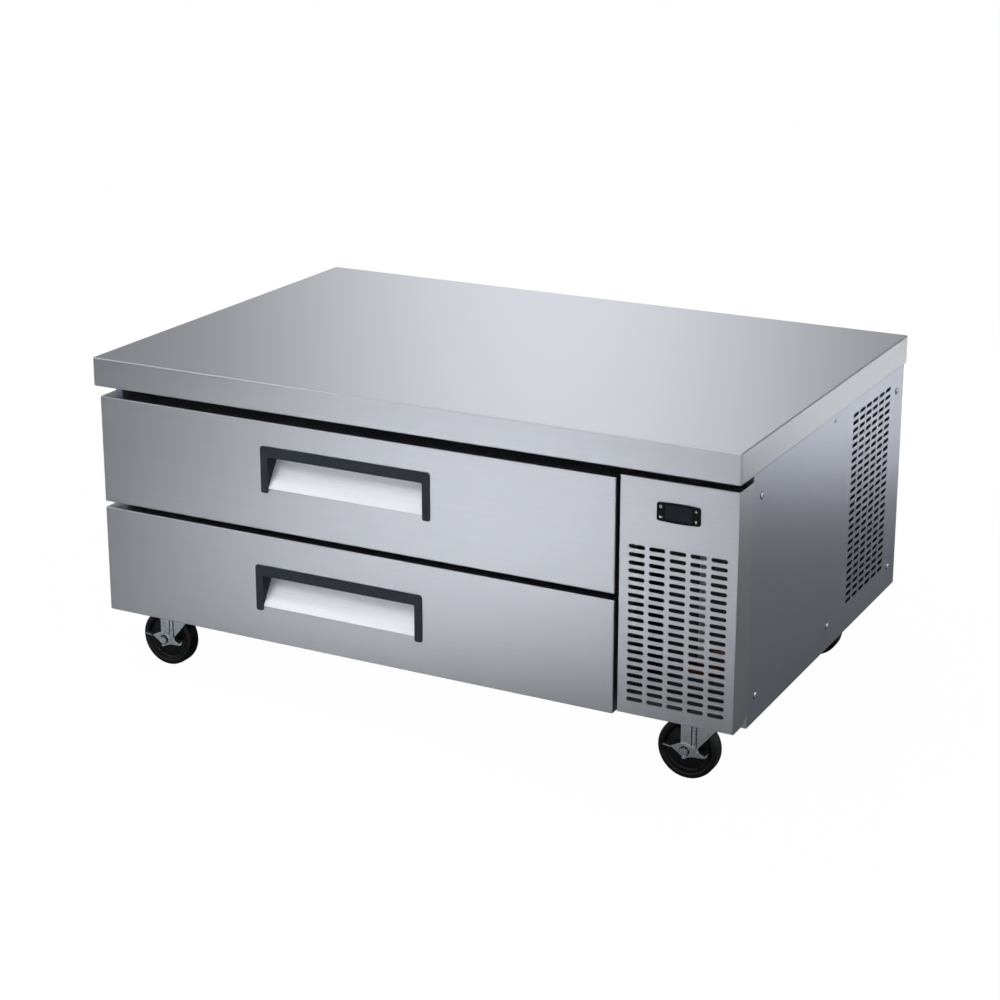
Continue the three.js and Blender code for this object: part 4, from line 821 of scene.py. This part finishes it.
roundEdges(bezel, lambda at, way: abs(way.y) > 0.9 and abs(at.x - middle.x) > reachX - 0.1,
           controller["corner"], 5)
roundEdges(bezel, lambda at, way: at.y < low.y + 0.05 and (
    abs(way.x) > 0.5 or abs(at.x - middle.x) > reachX - controller["corner"] - 0.2),
    controller["edge"], 3)
wide = grille["windowHalfWidth"] - controller["bodyGap"]
tall = grille["windowHalfHeight"] - controller["bodyGap"]
combine(bezel, "UNION",
        addBox("body", (middle.x - wide, low.y + controller["bodyFrom"], middle.z - tall),
               (middle.x + wide, high.y, middle.z + tall)))
paneLow, paneHigh = boxOf("controller_window")
gap = controller["windowGap"]
paneRoom = addBox("room", (paneLow.x - gap, low.y - past, paneLow.z - gap),
                  (paneHigh.x + gap, paneHigh.y + gap, paneHigh.z + gap))
roundEdges(paneRoom, lambda at, way: abs(way.y) > 0.9, controller["windowCorner"], 4)
rooms = [paneRoom]
gap = controller["keyGap"]
for key in controller["bars"]:
    keyLow, keyHigh = boxOf(f"key_{key}")
    hole = addBox("hole", (keyLow.x - gap, low.y - past, keyLow.z - gap),
                  (keyHigh.x + gap, keyHigh.y + controller["keyRoom"], keyHigh.z + gap))
    roundEdges(hole, lambda at, way: abs(way.y) > 0.9, controller["holeCorner"], 4)
    rooms.append(hole)
combine(bezel, "DIFFERENCE", *rooms)
finishPiece(bezel, "cabinet", "bezel_plastic", materials["polished polycarbonate"],
            "controller_case")
pane = addBox("controller_display", (paneLow.x, low.y + controller["windowSink"], paneLow.z),
              (paneHigh.x, paneHigh.y, paneHigh.z))
roundEdges(pane, lambda at, way: abs(way.y) > 0.9, controller["windowCorner"], 4)
easeEdges(pane, controller["ease"])
finishPiece(pane, "cabinet", "window_plastic", materials["smoked polycarbonate window"],
            "controller_window")


def makeLegend(key):  # a ring, a disc or an arrow, with its bars, on the face of a key
    thick = controller["legend"]
    if key == "power":
        inner, outer = controller["ring"]
        rings = [(inner, -thick), (outer, -thick), (outer, 0), (inner, 0), (inner, -thick)]
        mark = addTurned("ring", (0, 0, 0), "Y", rings, 24)
    elif key == "defrost":
        radius, x = controller["disc"]
        mark = addTurned("disc", (x, 0, 0), "Y", [(radius, -thick), (radius, 0)], 20)
    else:
        radius, turn = controller["arrow"], math.pi / 2
        mark = addTurned("arrow", (0, 0, 0), "Y", [(radius, -thick), (radius, 0)], 3)
        mark.data.transform(Matrix.Rotation(-turn if key == "up" else turn, 4, "Y"))
    if key == "down":
        mark.data.transform(Matrix.Translation((0, 0, controller["arrowLift"] * mm)))
    out = controller["powerBar"] if key == "power" else thick
    bars = [addBox("bar", (x0, -out, z0), (x1, 0, z1))
            for x0, x1, z0, z1 in controller["bars"][key]]
    return merge(f"{key}_legend", [mark, *bars])


for key in controller["bars"]:
    keyLow, keyHigh = boxOf(f"key_{key}")
    pad = addBox(f"{key}_pad", keyLow, keyHigh)
    roundEdges(pad, lambda at, way: abs(way.y) > 0.9, controller["keyCorner"], 4)
    easeEdges(pad, controller["ease"])
    finishPiece(pad, f"key_{key}_body", "key_plastic", materials["silicone key"], f"key_{key}")
    legend = makeLegend(key)
    middle = Vector(((keyLow.x + keyHigh.x) / 2, keyLow.y, (keyLow.z + keyHigh.z) / 2))
    legend.data.transform(Matrix.Translation(middle * mm))
    finishPiece(legend, f"key_{key}_body", "key_plastic", materials["printed key legend"])
print("controller made")


# machine room behind the grille: black sheets stand where the room is only dark, as painted shade,
# and only they and the filter drier show through the slots
machineRoom = {"sheet": 0.6, "facingFrom": -348.6, "gap": 0.3, "footGap": 0.2, "topGap": 0.4,
               # left, right, foot and top
               "baffle": (415.6, 597.5, 127, 178), "baffleGap": 1.3, "skirt": (402, 420),
               "drier": (521, -303, 191), "tilt": -9,
               "capsule": [(2.6, -42), (2.6, -34), (5, -31), (9.3, -27), (9.5, -25), (9.5, 23),
                           (9.3, 25), (5, 30), (2.6, 33), (2.6, 42)]}
# a black sheet beside the insulation: painted shade for the dark machine room
low, high = boxOf("insulation")
facingX = high.x + machineRoom["gap"]
facing = addBox("machine_room_shade_sheet",
                (facingX, machineRoom["facingFrom"], low.z + machineRoom["footGap"]),
                (facingX + machineRoom["sheet"], high.y - machineRoom["gap"],
                 high.z - machineRoom["topGap"]))
finishPiece(facing, "cabinet", "black_enamel", enamel)
# a black baffle and skirt in front of the base frame: painted shade behind the lowest slots
low, high = boxOf("base_frame")
y0 = low.y - machineRoom["baffleGap"]
y1 = y0 + machineRoom["sheet"]
x0, x1, z0, z1 = machineRoom["baffle"]
baffle = addBox("shade_baffle", (x0, y0, z0), (x1, y1, z1))
x0, x1 = machineRoom["skirt"]
combine(baffle, "UNION",
        addBox("skirt", (x0, y0, z0), (x1, y1, high.z - machineRoom["footGap"])))
finishPiece(baffle, "cabinet", "black_enamel", enamel)
drier = addTurned("filter_drier", (0, 0, 0), "X", machineRoom["capsule"], 32)
drier.data.transform(Matrix.Translation(Vector(machineRoom["drier"]) * mm)
                     @ Matrix.Rotation(math.radians(machineRoom["tilt"]), 4, "Y"))
finishPiece(drier, "cabinet", "copper", materials["drawn copper"])
print("machine room made")


# stage and light

stage = {"floorSize": 60, "paper": "#f4f4f4", "paperShadeInMetal": "#777777", "roughness": 0.9,
         "cameraWhite": 0.985, "metalWhite": 0.01}


def showWhite(tree, plain, output):
    # camera, clear pieces and a little metal see white, all other light the plain surface,
    # so the floor keeps the shadow of the counter
    rays = addNode(tree, "ShaderNodeLightPath", {})
    straight = addNode(tree, "ShaderNodeMath", {
        0: rays.outputs["Is Camera Ray"], 1: rays.outputs["Is Transmission Ray"]},
        operation="MAXIMUM")
    seen = addNode(tree, "ShaderNodeMath", {
        0: straight.outputs["Value"], 1: stage["cameraWhite"]}, operation="MULTIPLY")
    mirrored = addNode(tree, "ShaderNodeMath", {
        0: rays.outputs["Is Glossy Ray"], 1: stage["metalWhite"]}, operation="MULTIPLY")
    share = addNode(tree, "ShaderNodeMath", {
        0: seen.outputs["Value"], 1: mirrored.outputs["Value"]}, operation="MAXIMUM")
    kind = "ShaderNodeBackground" if "Background" in plain.name else "ShaderNodeEmission"
    white = addNode(tree, kind, {"Color": (1, 1, 1, 1), "Strength": 1})
    blend = addNode(tree, "ShaderNodeMixShader", {
        0: share.outputs["Value"], 1: plain.outputs[0], 2: white.outputs[0]})
    tree.node_tree.links.new(blend.outputs["Shader"], output.inputs["Surface"])
    return rays


deselectAll()
bpy.ops.mesh.primitive_plane_add(size=stage["floorSize"])
floor = bpy.context.object
floor.name = "floor"
pale, paleShader = startMaterial("pale paper floor", stage["paper"], stage["roughness"])
rays = showWhite(pale, paleShader, pale.node_tree.nodes["Material Output"])
# metal mirrors the floor a darker grey than the camera sees: painted shade in the reflections of
# the steel
tint = addNode(pale, "ShaderNodeMix", {
    0: rays.outputs["Is Glossy Ray"], 6: linear(stage["paper"]),
    7: linear(stage["paperShadeInMetal"])}, data_type="RGBA")
pale.node_tree.links.new(tint.outputs[2], paleShader.inputs["Base Color"])
floor.data.materials.append(pale)

# a room under a pale ceiling: dim behind the counter, where one tall soft glow stands that the
# worktop mirrors, and paler on the other sides; squash widens the glow upwards
room = {"level": 0.27, "colour": (0.98, 0.99, 1, 1), "glow": 1.26, "far": 0.981,
        "towards": (-0.4415, 0.897, 0.11), "squash": 0.35,
        "paler": 0.33, "palerFrom": 0.8, "palerTo": -0.1,
        "ceiling": 0.6, "ceilingFrom": 0.42, "ceilingTo": 0.8}
world = bpy.data.worlds.new("studio")
bpy.context.scene.world = world
world.use_nodes = True
walls = world.node_tree.nodes["Background"]
walls.inputs["Color"].default_value = room["colour"]
direction = addNode(world, "ShaderNodeTexCoord", {})
flatter = addNode(world, "ShaderNodeVectorMath", {
    0: direction.outputs["Generated"], 1: (1, 1, room["squash"])}, operation="MULTIPLY")
bearing = addNode(world, "ShaderNodeVectorMath", {0: flatter.outputs["Vector"]},
                  operation="NORMALIZE")
nearness = addNode(world, "ShaderNodeVectorMath", {
    0: bearing.outputs["Vector"], 1: Vector(room["towards"]).normalized()},
    operation="DOT_PRODUCT")
slope = addNode(world, "ShaderNodeMapRange", {
    "Value": nearness.outputs["Value"], "From Min": room["far"], "From Max": 1})
bell = addNode(world, "ShaderNodeMath", {0: slope.outputs["Result"], 1: 2}, operation="POWER")
glow = addNode(world, "ShaderNodeMath", {
    0: bell.outputs["Value"], 1: room["glow"], 2: room["level"]}, operation="MULTIPLY_ADD")
paler = addNode(world, "ShaderNodeMapRange", {
    "Value": nearness.outputs["Value"], "From Min": room["palerFrom"],
    "From Max": room["palerTo"], "To Max": room["paler"]}, interpolation_type="SMOOTHSTEP")
height = addNode(world, "ShaderNodeSeparateXYZ", {"Vector": direction.outputs["Generated"]})
ceiling = addNode(world, "ShaderNodeMapRange", {
    "Value": height.outputs["Z"], "From Min": room["ceilingFrom"], "From Max": room["ceilingTo"],
    "To Max": room["ceiling"]}, interpolation_type="SMOOTHSTEP")
around = addNode(world, "ShaderNodeMath", {
    0: ceiling.outputs["Result"], 1: paler.outputs["Result"]}, operation="ADD")
strength = addNode(world, "ShaderNodeMath", {
    0: glow.outputs["Value"], 1: around.outputs["Value"]}, operation="ADD")
world.node_tree.links.new(strength.outputs["Value"], walls.inputs["Strength"])
showWhite(world, walls, world.node_tree.nodes["World Output"])

lamps = {  # place and size in metres, turn and spread in degrees, power in watts
    "panel over the finger scoops": {"place": (-1.1, -2.75, 2.95), "turn": (0, -45, 67.2),
                                     "size": (2.2, 2.2), "power": 11, "spread": 180},
    "strip on the floor in front": {"place": (-1.04, -2.7, 2), "turn": (0, 0, -30),
                                    "size": (1.1, 4.1), "power": 99, "spread": 40},
    "strip on the floor beside": {"place": (1.64, 3, 1.6), "turn": (0, 0, -5),
                                  "size": (0.7, 3.4), "power": 62, "spread": 40},
    "strip on the floor in front at the right": {"place": (2, -2.6, 2), "turn": (0, 0, 30),
                                                 "size": (1, 2.6), "power": 50, "spread": 40},
    "strip on the floor behind": {"place": (-0.6, 2, 2), "turn": (0, 0, 0),
                                  "size": (2.8, 0.9), "power": 34, "spread": 40},
    "strip on the floor at the right": {"place": (2.6, -0.4, 2), "turn": (0, 0, 0),
                                        "size": (0.9, 2.6), "power": 34, "spread": 40},
    "strip on the floor at the left": {"place": (-2.7, 0.3, 2), "turn": (0, 0, 0),
                                       "size": (0.9, 2.8), "power": 34, "spread": 40},
}
for name, lamp in lamps.items():
    bpy.ops.object.light_add(type="AREA", location=lamp["place"],
                             rotation=[math.radians(angle) for angle in lamp["turn"]])
    light = bpy.context.object
    light.name = light.data.name = name
    light.data.shape = "RECTANGLE"
    light.data.size, light.data.size_y = lamp["size"]
    light.data.energy = lamp["power"]
    light.data.spread = math.radians(lamp["spread"])
bpy.context.scene.view_settings.view_transform = "Standard"
print("stage lit")
